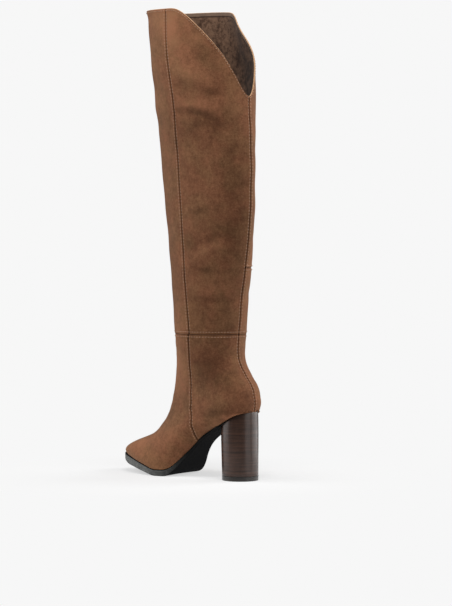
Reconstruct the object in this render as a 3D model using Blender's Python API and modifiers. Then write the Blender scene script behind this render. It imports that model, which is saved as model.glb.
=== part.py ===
"""Over-the-knee suede boot for a left foot, standing on a round stacked block heel.

Metres, +Z up, toe towards -Y, outer (lateral) side towards +X. Lengths along the boot are
called setbacks: the level distance forward of the heel's back. Every table holds shares of
the named sizes, and a smooth curve is laid through its rows.
"""

import bpy
import numpy as np

# Sizes of the last: the foot form that the boot is built round
FOOT_LENGTH = 0.232
BALL_WIDTH = 0.0805
SEAT_WIDTH = 0.051
HEEL_HEIGHT = 0.0898
TOE_SPRING = 0.016
COUNTER_START = 0.0015

# Sizes of the leg
ANKLE_RISE = 0.098
SHAFT_HEIGHT = 0.423
ANKLE_SETBACK = 0.078
ANKLE_LENGTH = 0.098
ANKLE_WIDTH = 0.082
COLLAR_LEAN = 0.0168
COLLAR_LENGTH = 0.1595
COLLAR_WIDTH = 0.110
NOTCH_DEPTH = 0.1175

# Thicknesses of the materials
FOOT_WALL = 0.0020
SHAFT_WALL = 0.0017
SOLE_THICKNESS = 0.008
WAIST_THICKNESS = 0.0045
SEAT_THICKNESS = 0.0018
INSOLE_THICKNESS = 0.0025
TOP_LIFT_THICKNESS = 0.006

# Sizes of the heel block
HEEL_DIAMETER = 0.049
HEEL_FOOT_DIAMETER = 0.047
HEEL_BREAST = 0.043
HEEL_INSET = 0.0006

# Clearances and margins
GAP = 0.0003
SOLE_GAP = 0.0006
SOLE_MARGIN = 0.0008
SOLE_BEVEL = 0.0012
BEVEL_SHARE = 0.25
INSOLE_CLEARANCE = 0.0030
LEAST_BULGE = 1.035

# Mesh density
HALF_COLUMNS = 24
FOOT_RINGS = 25
SHAFT_RINGS = 20
SOLE_STATIONS = 64
HEEL_STATIONS = 20
COLUMN_BEND_POWER = 1.4
COLUMN_SPREAD_POWER = 1.15
FINE_STEPS = 160

SOLE_TOP = SOLE_THICKNESS + SOLE_GAP
ANKLE_SEAM = HEEL_HEIGHT + ANKLE_RISE

# Leg sections: height of the shaft, lean, growth in length, growth in width, roundness of the back
SHAFT_COLUMNS = ("height", "lean", "length", "width", "back_power")
SHAFT_TABLE = (
    (0.00, 0.000, 0.000, 0.000, 2.05),
    (0.11, -0.015, 0.154, 0.036, 2.00),
    (0.24, -0.060, 0.407, 0.000, 1.93),
    (0.38, 0.030, 0.660, -0.107, 1.88),
    (0.50, 0.180, 0.792, -0.080, 1.86),
    (0.60, 0.325, 0.835, 0.200, 1.88),
    (0.70, 0.500, 0.860, 0.620, 1.93),
    (0.82, 0.745, 0.922, 0.900, 1.97),
    (1.00, 1.000, 1.000, 1.000, 2.00),
)

# Closed sections from the ankle seam down to the heel seat. Front and back are setbacks as shares
# of the foot length. Front rise is a share of the height from ball to ankle seam, back rise one
# of the height from heel seat to ankle seam. The half width adds a share of the ankle's half
# width to one of the ball's. Widest is how far forward in the section its greatest width lies.
SECTION_COLUMNS = ("front", "front_rise", "back", "back_rise", "of_ankle", "of_ball",
                   "widest", "low_power", "top_power")
HEEL_TABLE = (
    (0.5474, 1.000, 0.1250, 1.000, 1.000, 0.000, 0.50, 2.05, 1.86),
    (0.5460, 0.911, 0.1260, 0.817, 0.950, 0.018, 0.49, 2.05, 1.92),
    (0.5485, 0.833, 0.1190, 0.684, 0.880, 0.038, 0.47, 2.05, 2.00),
    (0.5550, 0.763, 0.0970, 0.571, 0.760, 0.108, 0.45, 2.10, 2.07),
    (0.5655, 0.691, 0.0550, 0.435, 0.620, 0.210, 0.43, 2.20, 2.12),
    (0.5770, 0.616, 0.0185, 0.317, 0.480, 0.328, 0.41, 2.35, 2.14),
    (0.5880, 0.560, 0.0020, 0.200, 0.360, 0.433, 0.39, 2.45, 2.13),
    (0.5975, 0.515, -0.0034, 0.094, 0.260, 0.520, 0.38, 2.50, 2.10),
    (0.6070, 0.477, 0.0065, 0.000, 0.200, 0.570, 0.37, 2.50, 2.05),
)

# Open sections from the heel seat to the toe, whose two ends stand on the lower edge
FOOT_TABLE = (
    (0.6070, 0.477, 0.0065, 0.000, 0.200, 0.570, 0.37, 2.50, 2.05),
    (0.6165, 0.442, 0.0300, 0.000, 0.170, 0.597, 0.37, 2.45, 2.02),
    (0.6310, 0.404, 0.0950, 0.000, 0.130, 0.640, 0.38, 2.30, 1.97),
    (0.6540, 0.360, 0.1980, 0.000, 0.080, 0.706, 0.39, 2.05, 1.92),
    (0.6850, 0.309, 0.3190, 0.000, 0.030, 0.800, 0.38, 1.85, 1.88),
    (0.7280, 0.248, 0.4400, 0.000, 0.000, 0.932, 0.34, 1.90, 1.88),
    (0.7790, 0.202, 0.5600, 0.000, 0.000, 1.038, 0.30, 2.05, 1.92),
    (0.8362, 0.160, 0.6770, 0.000, 0.000, 1.040, 0.28, 2.10, 1.97),
    (0.8922, 0.121, 0.7890, 0.000, 0.000, 0.920, 0.30, 2.10, 2.00),
    (0.9418, 0.080, 0.8880, 0.000, 0.000, 0.685, 0.34, 2.10, 2.05),
    (0.9780, 0.044, 0.9600, 0.000, 0.000, 0.380, 0.40, 2.05, 2.05),
    (1.0000, 0.018, 0.9960, 0.000, 0.000, 0.000, 0.50, 2.00, 2.00),
)

# The last's bottom: how far it rises from ball to heel, and from ball to toe
BOTTOM_COLUMNS = ("setback", "heel_rise", "toe_rise")
BOTTOM_TABLE = (
    (0.000, 1.008, 0.000),
    (0.065, 0.935, 0.000),
    (0.130, 0.849, 0.000),
    (0.194, 0.762, 0.000),
    (0.265, 0.682, 0.000),
    (0.323, 0.592, 0.000),
    (0.371, 0.486, 0.000),
    (0.414, 0.374, 0.000),
    (0.462, 0.240, 0.000),
    (0.500, 0.128, 0.000),
    (0.530, 0.050, 0.000),
    (0.560, 0.008, 0.000),
    (0.590, 0.000, 0.000),
    (0.640, 0.000, 0.020),
    (0.690, 0.000, 0.155),
    (0.760, 0.000, 0.390),
    (0.840, 0.000, 0.650),
    (0.930, 0.000, 0.880),
    (1.000, 0.000, 1.000),
)

# The lower edge in plan: half width as shares of the seat's and the ball's, and the sideways
# shift of its middle as a share of the ball's width, towards the outer side
OUTLINE_COLUMNS = ("setback", "of_seat", "of_ball", "shift")
OUTLINE_TABLE = (
    (0.00, 1.00, 0.000, 0.000),
    (0.17, 1.00, 0.000, 0.002),
    (0.21, 0.58, 0.180, 0.008),
    (0.25, 0.18, 0.315, 0.014),
    (0.31, 0.00, 0.392, 0.012),
    (0.37, 0.00, 0.410, 0.004),
    (0.41, 0.00, 0.467, -0.009),
    (0.46, 0.00, 0.609, -0.021),
    (0.50, 0.00, 0.766, -0.026),
    (0.54, 0.00, 0.905, -0.018),
    (0.58, 0.00, 0.976, -0.006),
    (0.63, 0.00, 1.000, -0.003),
    (0.70, 0.00, 0.972, -0.010),
    (0.78, 0.00, 0.905, -0.025),
    (0.88, 0.00, 0.795, -0.050),
    (0.95, 0.00, 0.715, -0.068),
    (1.00, 0.00, 0.680, -0.080),
)
TOE_ROUND_SHARE = 0.73
TOE_TIP_SHARE = 0.996

# Thickness of the outsole: shares of the forefoot's, the waist's and the seat's. Over 1.0 is
# where the floor cuts it flat, which makes the tread.
SOLE_COLUMNS = ("setback", "of_sole", "of_waist", "of_seat")
SOLE_TABLE = (
    (0.00, 0.00, 0.00, 1.00),
    (0.19, 0.00, 0.10, 0.90),
    (0.23, 0.00, 1.00, 0.00),
    (0.35, 0.00, 1.00, 0.00),
    (0.46, 0.55, 0.45, 0.00),
    (0.54, 1.03, 0.00, 0.00),
    (0.64, 1.03, 0.00, 0.00),
    (1.00, 0.87, 0.00, 0.00),
)

# The collar's fall from its front: girth share from back seam to front ridge, and the share of
# the notch's depth. The first row mirrors the third, so that the notch's foot is round.
COLLAR_TABLE = (
    (-0.045, 0.930),
    (0.000, 1.000),
    (0.045, 0.930),
    (0.090, 0.785),
    (0.165, 0.560),
    (0.250, 0.365),
    (0.330, 0.215),
    (0.400, 0.105),
    (0.460, 0.045),
    (0.530, 0.030),
    (0.750, 0.015),
    (1.000, 0.000),
)

COLLECTION = "knee_high_boot"
COLOURS = {
    "suede": ((0.19, 0.095, 0.055, 1.0), 0.95, 0.0),
    "sole_rubber": ((0.018, 0.018, 0.02, 1.0), 0.55, 0.0),
    "stacked_heel": ((0.075, 0.045, 0.033, 1.0), 0.35, 0.0),
    "top_lift_rubber": ((0.03, 0.025, 0.022, 1.0), 0.5, 0.0),
    "footbed": ((0.12, 0.085, 0.06, 1.0), 0.8, 0.0),
}


def natural_spline(knots, values):
    """A smooth curve through the values, one column for each measure, as a function."""
    knots = np.asarray(knots, float)
    values = np.asarray(values, float).reshape(len(knots), -1)
    steps = np.diff(knots)
    slopes = np.diff(values, axis=0) / steps[:, None]
    system = np.eye(len(knots))
    right = np.zeros_like(values)
    for i in range(1, len(knots) - 1):
        system[i, i - 1:i + 2] = steps[i - 1], 2 * (steps[i - 1] + steps[i]), steps[i]
        right[i] = 6 * (slopes[i] - slopes[i - 1])
    bends = np.linalg.solve(system, right)

    def curve(at):
        at = np.clip(np.atleast_1d(np.asarray(at, float)), knots[0], knots[-1])
        i = np.clip(np.searchsorted(knots, at) - 1, 0, len(steps) - 1)
        step = steps[i][:, None]
        right_part = (at - knots[i])[:, None] / step
        left_part = 1 - right_part
        line = left_part * values[i] + right_part * values[i + 1]
        bow = (left_part**3 - left_part) * bends[i] + (right_part**3 - right_part) * bends[i + 1]
        return line + bow * step**2 / 6

    return curve


def straight_curve(knots, values):
    """The same as natural_spline, with straight lines between the rows."""
    values = np.asarray(values, float)
    return lambda at: np.stack([np.interp(at, knots, column) for column in values.T], axis=-1)


def table_curve(table, make=natural_spline):
    """A curve through a table whose first column says where each row lies."""
    rows = np.array(table)
    return make(rows[:, 0], rows[:, 1:])


BOTTOM_CURVE = table_curve(BOTTOM_TABLE)
OUTLINE_CURVE = table_curve(OUTLINE_TABLE)
SOLE_CURVE = table_curve(SOLE_TABLE, straight_curve)
SHAFT_CURVE = table_curve(SHAFT_TABLE)
COLLAR_CURVE = table_curve(COLLAR_TABLE)
HEEL_CURVE = natural_spline(range(len(HEEL_TABLE)), HEEL_TABLE)
FOOT_CURVE = natural_spline(range(len(FOOT_TABLE)), FOOT_TABLE)


def bottom_height(setback):
    """Height of the upper's lower edge above the floor."""
    heel_rise, toe_rise = BOTTOM_CURVE(np.asarray(setback) / FOOT_LENGTH).T
    heel_rise = np.maximum(heel_rise, 0.0)
    toe_rise = np.maximum(toe_rise, 0.0)
    return SOLE_TOP + (HEEL_HEIGHT - SOLE_TOP) * heel_rise + TOE_SPRING * toe_rise


def outline(setback):
    """Half width of the lower edge, and the sideways shift of its middle."""
    setback = np.asarray(setback, float)
    of_seat, of_ball, shift = OUTLINE_CURVE(setback / FOOT_LENGTH).T
    width = of_seat * SEAT_WIDTH / 2 + of_ball * BALL_WIDTH / 2
    heel_round = np.clip((setback - COUNTER_START) / (SEAT_WIDTH / 2), 0, 1)
    toe_length = (TOE_TIP_SHARE - TOE_ROUND_SHARE) * FOOT_LENGTH
    toe_round = np.clip((TOE_TIP_SHARE * FOOT_LENGTH - setback) / toe_length, 0, 1)
    width = width * np.sqrt(1 - (1 - heel_round) ** 2) * np.sqrt(1 - (1 - toe_round) ** 2)
    return width, shift * BALL_WIDTH


def half_girth(half_width, foot_width, widest, low_power, top_power):
    """One side of a section of unit length, as a fine line from its back end to its ridge.

    It is a rounded oval, cut off at its back end where it is foot_width from the middle. Given
    back are the distances out from the middle, along the section, and along the line itself.
    """
    half_width = max(half_width, GAP / 100)
    ratio = min(foot_width / half_width, 1 / LEAST_BULGE)
    start = np.arcsin(ratio ** (low_power / 2))
    angles = np.linspace(start, np.pi, FINE_STEPS)
    low = angles < np.pi / 2
    out = half_width * np.maximum(np.sin(angles), 0) ** (2 / np.where(low, low_power, top_power))
    cosine = np.abs(np.cos(angles))
    below = widest * (1 - (cosine / np.cos(start)) ** (2 / low_power))
    above = widest + (1 - widest) * cosine ** (2 / top_power)
    return out, np.where(low, below, above)


def section_point(front, back, size, girth_share):
    """A point on a flat section of the boot, girth_share of the way from its back to its front.

    front and back are (shift, setback, height), and size is (half_width, foot_width, widest,
    low_power, top_power). Given back are the point on the outer side and that on the inner side.
    """
    front, back = np.array(front), np.array(back)
    out, share = half_girth(*size)
    along = share * np.linalg.norm(front - back)
    travel = np.concatenate([[0], np.cumsum(np.hypot(np.diff(out), np.diff(along)))])
    reach = np.interp(girth_share, travel / travel[-1], out)
    share = np.interp(girth_share, travel / travel[-1], share)
    shift, setback, height = back + (front - back) * share
    return (shift + reach, -setback, height), (shift - reach, -setback, height)


def foot_point(place, girth_share):
    """Points of the foot: place counts rows down HEEL_TABLE and then on down FOOT_TABLE."""
    seat = len(HEEL_TABLE) - 1
    is_open = place > seat
    row = FOOT_CURVE(place - seat)[0] if is_open else HEEL_CURVE(place)[0]
    part = dict(zip(SECTION_COLUMNS, row))
    front, back = part["front"] * FOOT_LENGTH, part["back"] * FOOT_LENGTH
    seam = ANKLE_SEAM - GAP / 2
    front_base = bottom_height(front)[0]
    front_height = front_base + part["front_rise"] * (seam - front_base)
    back_height = HEEL_HEIGHT + part["back_rise"] * (seam - HEEL_HEIGHT)
    half_width = part["of_ankle"] * ANKLE_WIDTH / 2 + part["of_ball"] * BALL_WIDTH / 2
    foot_width, back_shift, front_shift = 0.0, 0.0, 0.0
    if is_open:
        back_height = bottom_height(back)[0]
        foot_width, back_shift = [float(value[0]) for value in outline([back])]
        front_shift = min(float(outline([front])[1][0]), 0.0)
        half_width = max(half_width, foot_width * LEAST_BULGE)
    size = (half_width, foot_width, part["widest"], part["low_power"], part["top_power"])
    ends = (front_shift, front, front_height), (back_shift, back, back_height)
    return section_point(*ends, size, girth_share)


def foot_rings():
    """Rings of the foot from the ankle seam, level, down to its lower edge.

    Each column starts at the ankle seam, and ends on the lower edge: the back one at the heel's
    back, the front one at the toe. Past the heel seat it turns down towards that edge.
    """
    seat = len(HEEL_TABLE) - 1
    ahead = len(FOOT_TABLE) - 1
    rings = []
    for climb in np.linspace(1, 0, FOOT_RINGS):
        sides = []
        for across in np.linspace(0, 1, HALF_COLUMNS + 1):
            place = (1 - climb**COLUMN_BEND_POWER) * (seat + ahead * across)
            passed = max(place - seat, 0) / (ahead * max(across, 1 / HALF_COLUMNS))
            spread = np.sin(across * np.pi / 2) ** COLUMN_SPREAD_POWER
            left = spread * (1 - passed)
            girth_share = left / (left + 1 - spread) if climb > 0 else 0.0
            sides.append(foot_point(place, girth_share))
        rings.append(whole_ring(sides))
    return rings


def whole_ring(sides):
    """A ring from its (outer, inner) points: by the outer side to the front and back inside."""
    outer = [pair[0] for pair in sides]
    inner = [pair[1] for pair in sides]
    return np.array(outer + inner[-2::-1])


def shaft_point(height, girth_share):
    """Points of the leg at a height above the floor."""
    share = (height - ANKLE_SEAM) / SHAFT_HEIGHT
    lean, length, width, back_power = SHAFT_CURVE(share)[0]
    middle = ANKLE_SETBACK + COLLAR_LEAN * lean
    length = ANKLE_LENGTH + (COLLAR_LENGTH - ANKLE_LENGTH) * length
    half_width = (ANKLE_WIDTH + (COLLAR_WIDTH - ANKLE_WIDTH) * width) / 2
    ends = (0.0, middle + length / 2, height), (0.0, middle - length / 2, height)
    ankle = dict(zip(SECTION_COLUMNS, HEEL_TABLE[0]))
    size = (half_width, 0.0, ankle["widest"], back_power, ankle["top_power"])
    return section_point(*ends, size, girth_share)


def collar_height(girth_share):
    """Height of the collar's edge: level in front, falling to the foot of the notch at the back."""
    return ANKLE_SEAM + SHAFT_HEIGHT - NOTCH_DEPTH * COLLAR_CURVE(girth_share)[:, 0]


def shaft_rings():
    """Rings of the leg, level at the ankle seam and following the notched collar at the top."""
    girth_shares = np.linspace(0, 1, HALF_COLUMNS + 1)
    start = ANKLE_SEAM + GAP / 2
    rings = []
    for climb in np.linspace(0, 1, SHAFT_RINGS):
        heights = start + (collar_height(girth_shares) - start) * climb
        sides = [shaft_point(height, share) for height, share in zip(heights, girth_shares)]
        rings.append(whole_ring(sides))
    return rings


def material(name):
    """A plain Principled material with the colour, roughness and metallic value of COLOURS."""
    colour, roughness, metallic = COLOURS[name]
    made = bpy.data.materials.new(name)
    made.use_nodes = True
    shader = made.node_tree.nodes["Principled BSDF"]
    shader.inputs["Base Color"].default_value = colour
    shader.inputs["Roughness"].default_value = roughness
    shader.inputs["Metallic"].default_value = metallic
    made.diffuse_color = colour
    return made


def add_object(name, points, faces, slot):
    """A mesh object in the boot's collection, with coincident points joined."""
    mesh = bpy.data.meshes.new(name)
    mesh.from_pydata([tuple(point) for point in points], [], faces)
    made = bpy.data.objects.new(name, mesh)
    bpy.data.collections[COLLECTION].objects.link(made)
    mesh.materials.append(bpy.data.materials[slot])
    weld = made.modifiers.new("join_seam", "WELD")
    weld.merge_threshold = GAP / 10
    mesh.shade_smooth()
    return made


def grid_faces(rows, columns, around=False):
    """Four-sided faces of a grid of points, closed round its columns if asked."""
    faces = []
    for row in range(rows - 1):
        for column in range(columns if around else columns - 1):
            following = (column + 1) % columns
            here, above = row * columns, (row + 1) * columns
            faces.append((here + column, here + following, above + following, above + column))
    return faces


def leather_shell(name, rings, wall):
    """A hollow solid: the loft through the rings, with its wall laid on the inner side."""
    faces = grid_faces(len(rings), len(rings[0]))
    shell = add_object(name, np.concatenate(rings), faces, "suede")
    thicken = shell.modifiers.new("wall", "SOLIDIFY")
    thicken.thickness = wall
    thicken.offset = -1.0
    thicken.use_even_offset = True
    return shell


def edge_line(stations, inset):
    """The lower edge's outline moved inwards: outer and inner points at each station, in plan."""
    half_width, shift = outline(stations)
    sides = []
    for side in (1, -1):
        line = np.stack([shift + side * half_width, stations], axis=1)
        travel = np.gradient(line, axis=0)
        travel[0], travel[-1] = (side, 0.0), (-side, 0.0)
        travel /= np.linalg.norm(travel, axis=1)[:, None]
        inwards = side * np.stack([-travel[:, 1], travel[:, 0]], axis=1)
        sides.append(line + inset * inwards)
    return sides


def sole_stations():
    """Setbacks from the heel's back to the toe's tip, closer together at both ends."""
    turn = np.linspace(0, np.pi, SOLE_STATIONS)
    length = TOE_TIP_SHARE * FOOT_LENGTH - COUNTER_START
    return COUNTER_START + length * (1 - np.cos(turn)) / 2


def plate(name, layers, slot):
    """A solid between flat-lying layers, listed from the top down, each an (outer, inner) pair."""
    count = len(layers[0][0])
    rings = [np.concatenate([outer, inner[::-1]]) for outer, inner in layers]
    faces = grid_faces(len(rings), 2 * count, around=True)
    lowest = (len(rings) - 1) * 2 * count
    for i in range(count - 1):
        across = (i, i + 1, 2 * count - 2 - i, 2 * count - 1 - i)
        faces.append(across[::-1])
        faces.append(tuple(lowest + corner for corner in across))
    return add_object(name, np.concatenate(rings), faces, slot)


def layer(stations, inset, height_of):
    """One layer of a plate: the outline moved inwards, each point at the height of its setback."""
    return [np.stack([line[:, 0], -line[:, 1], height_of(line[:, 1])], axis=1)
            for line in edge_line(stations, inset)]


def sole_thickness(setback):
    of_sole, of_waist, of_seat = SOLE_CURVE(np.asarray(setback) / FOOT_LENGTH).T
    return of_sole * SOLE_THICKNESS + of_waist * WAIST_THICKNESS + of_seat * SEAT_THICKNESS


def sole_top(setback):
    return bottom_height(setback) - SOLE_GAP


def sole_bottom(setback):
    """Height of the outsole's underside, never below the floor."""
    return np.maximum(sole_top(setback) - sole_thickness(setback), 0.0)


def sole_wall_foot(setback):
    """Height at which the outsole's upright edge turns into its bevel."""
    return sole_bottom(setback) + BEVEL_SHARE * (sole_top(setback) - sole_bottom(setback))


def make_outsole():
    stations = sole_stations()
    layers = [layer(stations, -SOLE_MARGIN, sole_top),
              layer(stations, -SOLE_MARGIN, sole_wall_foot),
              layer(stations, SOLE_BEVEL - SOLE_MARGIN, sole_bottom)]
    return plate("outsole", layers, "sole_rubber")


def insole_top(setback):
    return bottom_height(setback) + INSOLE_THICKNESS


def make_insole():
    stations = sole_stations()
    inset = FOOT_WALL + INSOLE_CLEARANCE
    layers = [layer(stations, inset, insole_top), layer(stations, inset, bottom_height)]
    return plate("insole", layers, "footbed")


def heel_layer(diameter, heights):
    """A layer of the heel block: a circle cut straight across at the breast."""
    back = COUNTER_START - SOLE_MARGIN + HEEL_INSET
    turn = np.linspace(0, 1, HEEL_STATIONS)
    radius = diameter / 2
    reach = HEEL_BREAST * diameter / HEEL_DIAMETER
    stop = np.arccos(1 - min(reach, 1.9 * radius) / radius)
    setback = back + radius * (1 - np.cos(turn * stop))
    half_width = radius * np.sin(turn * stop)
    height = heights(setback)
    return [np.stack([side * half_width, -setback, height], axis=1) for side in (1, -1)]


def make_heel():
    top = heel_layer(HEEL_DIAMETER, lambda setback: sole_bottom(setback) - GAP)
    foot = heel_layer(HEEL_FOOT_DIAMETER,
                      lambda setback: np.full_like(setback, TOP_LIFT_THICKNESS + GAP))
    return plate("heel", [top, foot], "stacked_heel")


def make_top_lift():
    top = heel_layer(HEEL_FOOT_DIAMETER, lambda setback: np.full_like(setback, TOP_LIFT_THICKNESS))
    foot = heel_layer(HEEL_FOOT_DIAMETER, np.zeros_like)
    return plate("top_lift", [top, foot], "top_lift_rubber")


def centre_on_origin(objects):
    """Moves the boot so that its box stands on the origin, centred left to right and front to back."""
    bpy.context.view_layer.update()
    graph = bpy.context.evaluated_depsgraph_get()
    corners = []
    for thing in objects:
        mesh = thing.evaluated_get(graph).to_mesh()
        corners.append(np.array([vertex.co for vertex in mesh.vertices]))
    points = np.concatenate(corners)
    middle = (points.max(axis=0) + points.min(axis=0)) / 2
    for thing in objects:
        thing.location = (-middle[0], -middle[1], 0.0)


def main():
    for thing in list(bpy.data.objects):
        bpy.data.objects.remove(thing)
    collection = bpy.data.collections.new(COLLECTION)
    bpy.context.scene.collection.children.link(collection)
    for name in COLOURS:
        material(name)
    pieces = [
        leather_shell("upper", foot_rings(), FOOT_WALL),
        leather_shell("shaft", shaft_rings(), SHAFT_WALL),
        make_outsole(),
        make_insole(),
        make_heel(),
        make_top_lift(),
    ]
    centre_on_origin(pieces)


main()
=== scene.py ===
# %% [markdown]
# # An over-the-knee suede boot
#
# This lesson dresses a plain solid model of a tall suede boot. It stands on a round stacked
# heel, and its collar is cut into a deep V behind the knee. The solid model comes in as a
# fixed frame, and each piece that is made here takes the place of one of its parts.

import math

import bpy
import numpy as np
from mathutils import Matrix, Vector


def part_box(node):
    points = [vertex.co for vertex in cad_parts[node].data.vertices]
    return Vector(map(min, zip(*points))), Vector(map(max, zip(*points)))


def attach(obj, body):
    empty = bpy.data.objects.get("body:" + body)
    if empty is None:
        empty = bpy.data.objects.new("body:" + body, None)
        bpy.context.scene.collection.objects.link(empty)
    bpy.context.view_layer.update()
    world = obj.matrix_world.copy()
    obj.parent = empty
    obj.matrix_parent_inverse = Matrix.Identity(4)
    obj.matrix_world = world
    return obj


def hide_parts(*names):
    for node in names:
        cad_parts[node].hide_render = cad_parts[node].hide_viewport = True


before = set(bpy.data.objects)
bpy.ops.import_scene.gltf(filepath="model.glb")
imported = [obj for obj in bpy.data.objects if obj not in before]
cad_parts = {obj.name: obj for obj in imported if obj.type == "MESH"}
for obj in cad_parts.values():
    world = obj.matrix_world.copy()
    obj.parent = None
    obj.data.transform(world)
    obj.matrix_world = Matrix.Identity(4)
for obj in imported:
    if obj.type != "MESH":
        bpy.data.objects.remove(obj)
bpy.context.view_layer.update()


MILLIMETRES = 1000


def in_mm(lengths):
    """Metres as rounded millimetres, to print."""
    return [round(MILLIMETRES * float(length), 1) for length in lengths]


# %% [markdown]
# ## The boot's own sizes
#
# A boot is built round a last, the form of a foot, and its leg is measured at the ankle and
# at the collar. All lengths are in metres. A setback is the level distance forward of the
# heel's back. These are the sizes that the solid model was made from, so the new skins lie
# exactly where the solids are.

# %% Sizes
FOOT_LENGTH = 0.232
BALL_WIDTH = 0.0805
SEAT_WIDTH = 0.051
HEEL_HEIGHT = 0.0898
TOE_SPRING = 0.016
COUNTER_START = 0.0015
ANKLE_RISE = 0.098
SHAFT_HEIGHT = 0.423
ANKLE_SETBACK = 0.078
ANKLE_LENGTH = 0.098
ANKLE_WIDTH = 0.082
COLLAR_LEAN = 0.0168
COLLAR_LENGTH = 0.1595
COLLAR_WIDTH = 0.110
NOTCH_DEPTH = 0.1175
FOOT_WALL = 0.0020
SHAFT_WALL = 0.0017
SOLE_THICKNESS = 0.008
WAIST_THICKNESS = 0.0045
SEAT_THICKNESS = 0.0018
TOP_LIFT_THICKNESS = 0.006
HEEL_DIAMETER = 0.049
HEEL_FOOT_DIAMETER = 0.047
HEEL_BREAST = 0.043
HEEL_INSET = 0.0006
GAP = 0.0003
SOLE_GAP = 0.0006
SOLE_MARGIN = 0.0008
LEAST_BULGE = 1.035
SOLE_TOP = SOLE_THICKNESS + SOLE_GAP
ANKLE_SEAM = HEEL_HEIGHT + ANKLE_RISE
HEEL_BACK = COUNTER_START - SOLE_MARGIN + HEEL_INSET
BACK_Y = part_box("heel")[1].y + HEEL_BACK
print("setback 0 lies at Y =", round(1000 * BACK_Y, 2), "mm")

# %% [markdown]
# The shape between those sizes comes from tables of sections. Each row holds shares of the
# named sizes, and a smooth curve is laid through the rows, as a draughtsman bends a spline.

# %% Tables of the leg
# Columns: height, lean, length, width, power of the back's curve.
SHAFT_TABLE = (
    (0.00, 0.000, 0.000, 0.000, 2.05),
    (0.11, -0.015, 0.154, 0.036, 2.00),
    (0.24, -0.060, 0.407, 0.000, 1.93),
    (0.38, 0.030, 0.660, -0.107, 1.88),
    (0.50, 0.180, 0.792, -0.080, 1.86),
    (0.60, 0.325, 0.835, 0.200, 1.88),
    (0.70, 0.500, 0.860, 0.620, 1.93),
    (0.82, 0.745, 0.922, 0.900, 1.97),
    (1.00, 1.000, 1.000, 1.000, 2.00),
)
# Columns: share of the way round from the back, fall below the front.
COLLAR_TABLE = (
    (-0.045, 0.930),
    (0.000, 1.000),
    (0.045, 0.930),
    (0.090, 0.785),
    (0.165, 0.560),
    (0.250, 0.365),
    (0.330, 0.215),
    (0.400, 0.105),
    (0.460, 0.045),
    (0.530, 0.030),
    (0.750, 0.015),
    (1.000, 0.000),
)
print("sections of the leg:", len(SHAFT_TABLE), "places on the collar:", len(COLLAR_TABLE))

# %% Tables of the foot
SECTION_COLUMNS = ("front", "front_rise", "back", "back_rise", "of_ankle", "of_ball",
                   "widest", "low_power", "top_power")
HEEL_TABLE = (
    (0.5474, 1.000, 0.1250, 1.000, 1.000, 0.000, 0.50, 2.05, 1.86),
    (0.5460, 0.911, 0.1260, 0.817, 0.950, 0.018, 0.49, 2.05, 1.92),
    (0.5485, 0.833, 0.1190, 0.684, 0.880, 0.038, 0.47, 2.05, 2.00),
    (0.5550, 0.763, 0.0970, 0.571, 0.760, 0.108, 0.45, 2.10, 2.07),
    (0.5655, 0.691, 0.0550, 0.435, 0.620, 0.210, 0.43, 2.20, 2.12),
    (0.5770, 0.616, 0.0185, 0.317, 0.480, 0.328, 0.41, 2.35, 2.14),
    (0.5880, 0.560, 0.0020, 0.200, 0.360, 0.433, 0.39, 2.45, 2.13),
    (0.5975, 0.515, -0.0034, 0.094, 0.260, 0.520, 0.38, 2.50, 2.10),
    (0.6070, 0.477, 0.0065, 0.000, 0.200, 0.570, 0.37, 2.50, 2.05),
)
FOOT_TABLE = (
    HEEL_TABLE[-1],
    (0.6165, 0.442, 0.0300, 0.000, 0.170, 0.597, 0.37, 2.45, 2.02),
    (0.6310, 0.404, 0.0950, 0.000, 0.130, 0.640, 0.38, 2.30, 1.97),
    (0.6540, 0.360, 0.1980, 0.000, 0.080, 0.706, 0.39, 2.05, 1.92),
    (0.6850, 0.309, 0.3190, 0.000, 0.030, 0.800, 0.38, 1.85, 1.88),
    (0.7280, 0.248, 0.4400, 0.000, 0.000, 0.932, 0.34, 1.90, 1.88),
    (0.7790, 0.202, 0.5600, 0.000, 0.000, 1.038, 0.30, 2.05, 1.92),
    (0.8362, 0.160, 0.6770, 0.000, 0.000, 1.040, 0.28, 2.10, 1.97),
    (0.8922, 0.121, 0.7890, 0.000, 0.000, 0.920, 0.30, 2.10, 2.00),
    (0.9418, 0.080, 0.8880, 0.000, 0.000, 0.685, 0.34, 2.10, 2.05),
    (0.9780, 0.044, 0.9600, 0.000, 0.000, 0.380, 0.40, 2.05, 2.05),
    (1.0000, 0.018, 0.9960, 0.000, 0.000, 0.000, 0.50, 2.00, 2.00),
)
print("sections of the foot:", len(HEEL_TABLE) + len(FOOT_TABLE) - 1)

# %% Tables of the last's bottom and of the outsole
# Columns: setback, rise of the heel, rise of the toe.
BOTTOM_TABLE = (
    (0.000, 1.008, 0.000),
    (0.065, 0.935, 0.000),
    (0.130, 0.849, 0.000),
    (0.194, 0.762, 0.000),
    (0.265, 0.682, 0.000),
    (0.323, 0.592, 0.000),
    (0.371, 0.486, 0.000),
    (0.414, 0.374, 0.000),
    (0.462, 0.240, 0.000),
    (0.500, 0.128, 0.000),
    (0.530, 0.050, 0.000),
    (0.560, 0.008, 0.000),
    (0.590, 0.000, 0.000),
    (0.640, 0.000, 0.020),
    (0.690, 0.000, 0.200),
    (0.760, 0.000, 0.465),
    (0.840, 0.000, 0.710),
    (0.930, 0.000, 0.880),
    (1.000, 0.000, 1.000),
)
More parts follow.
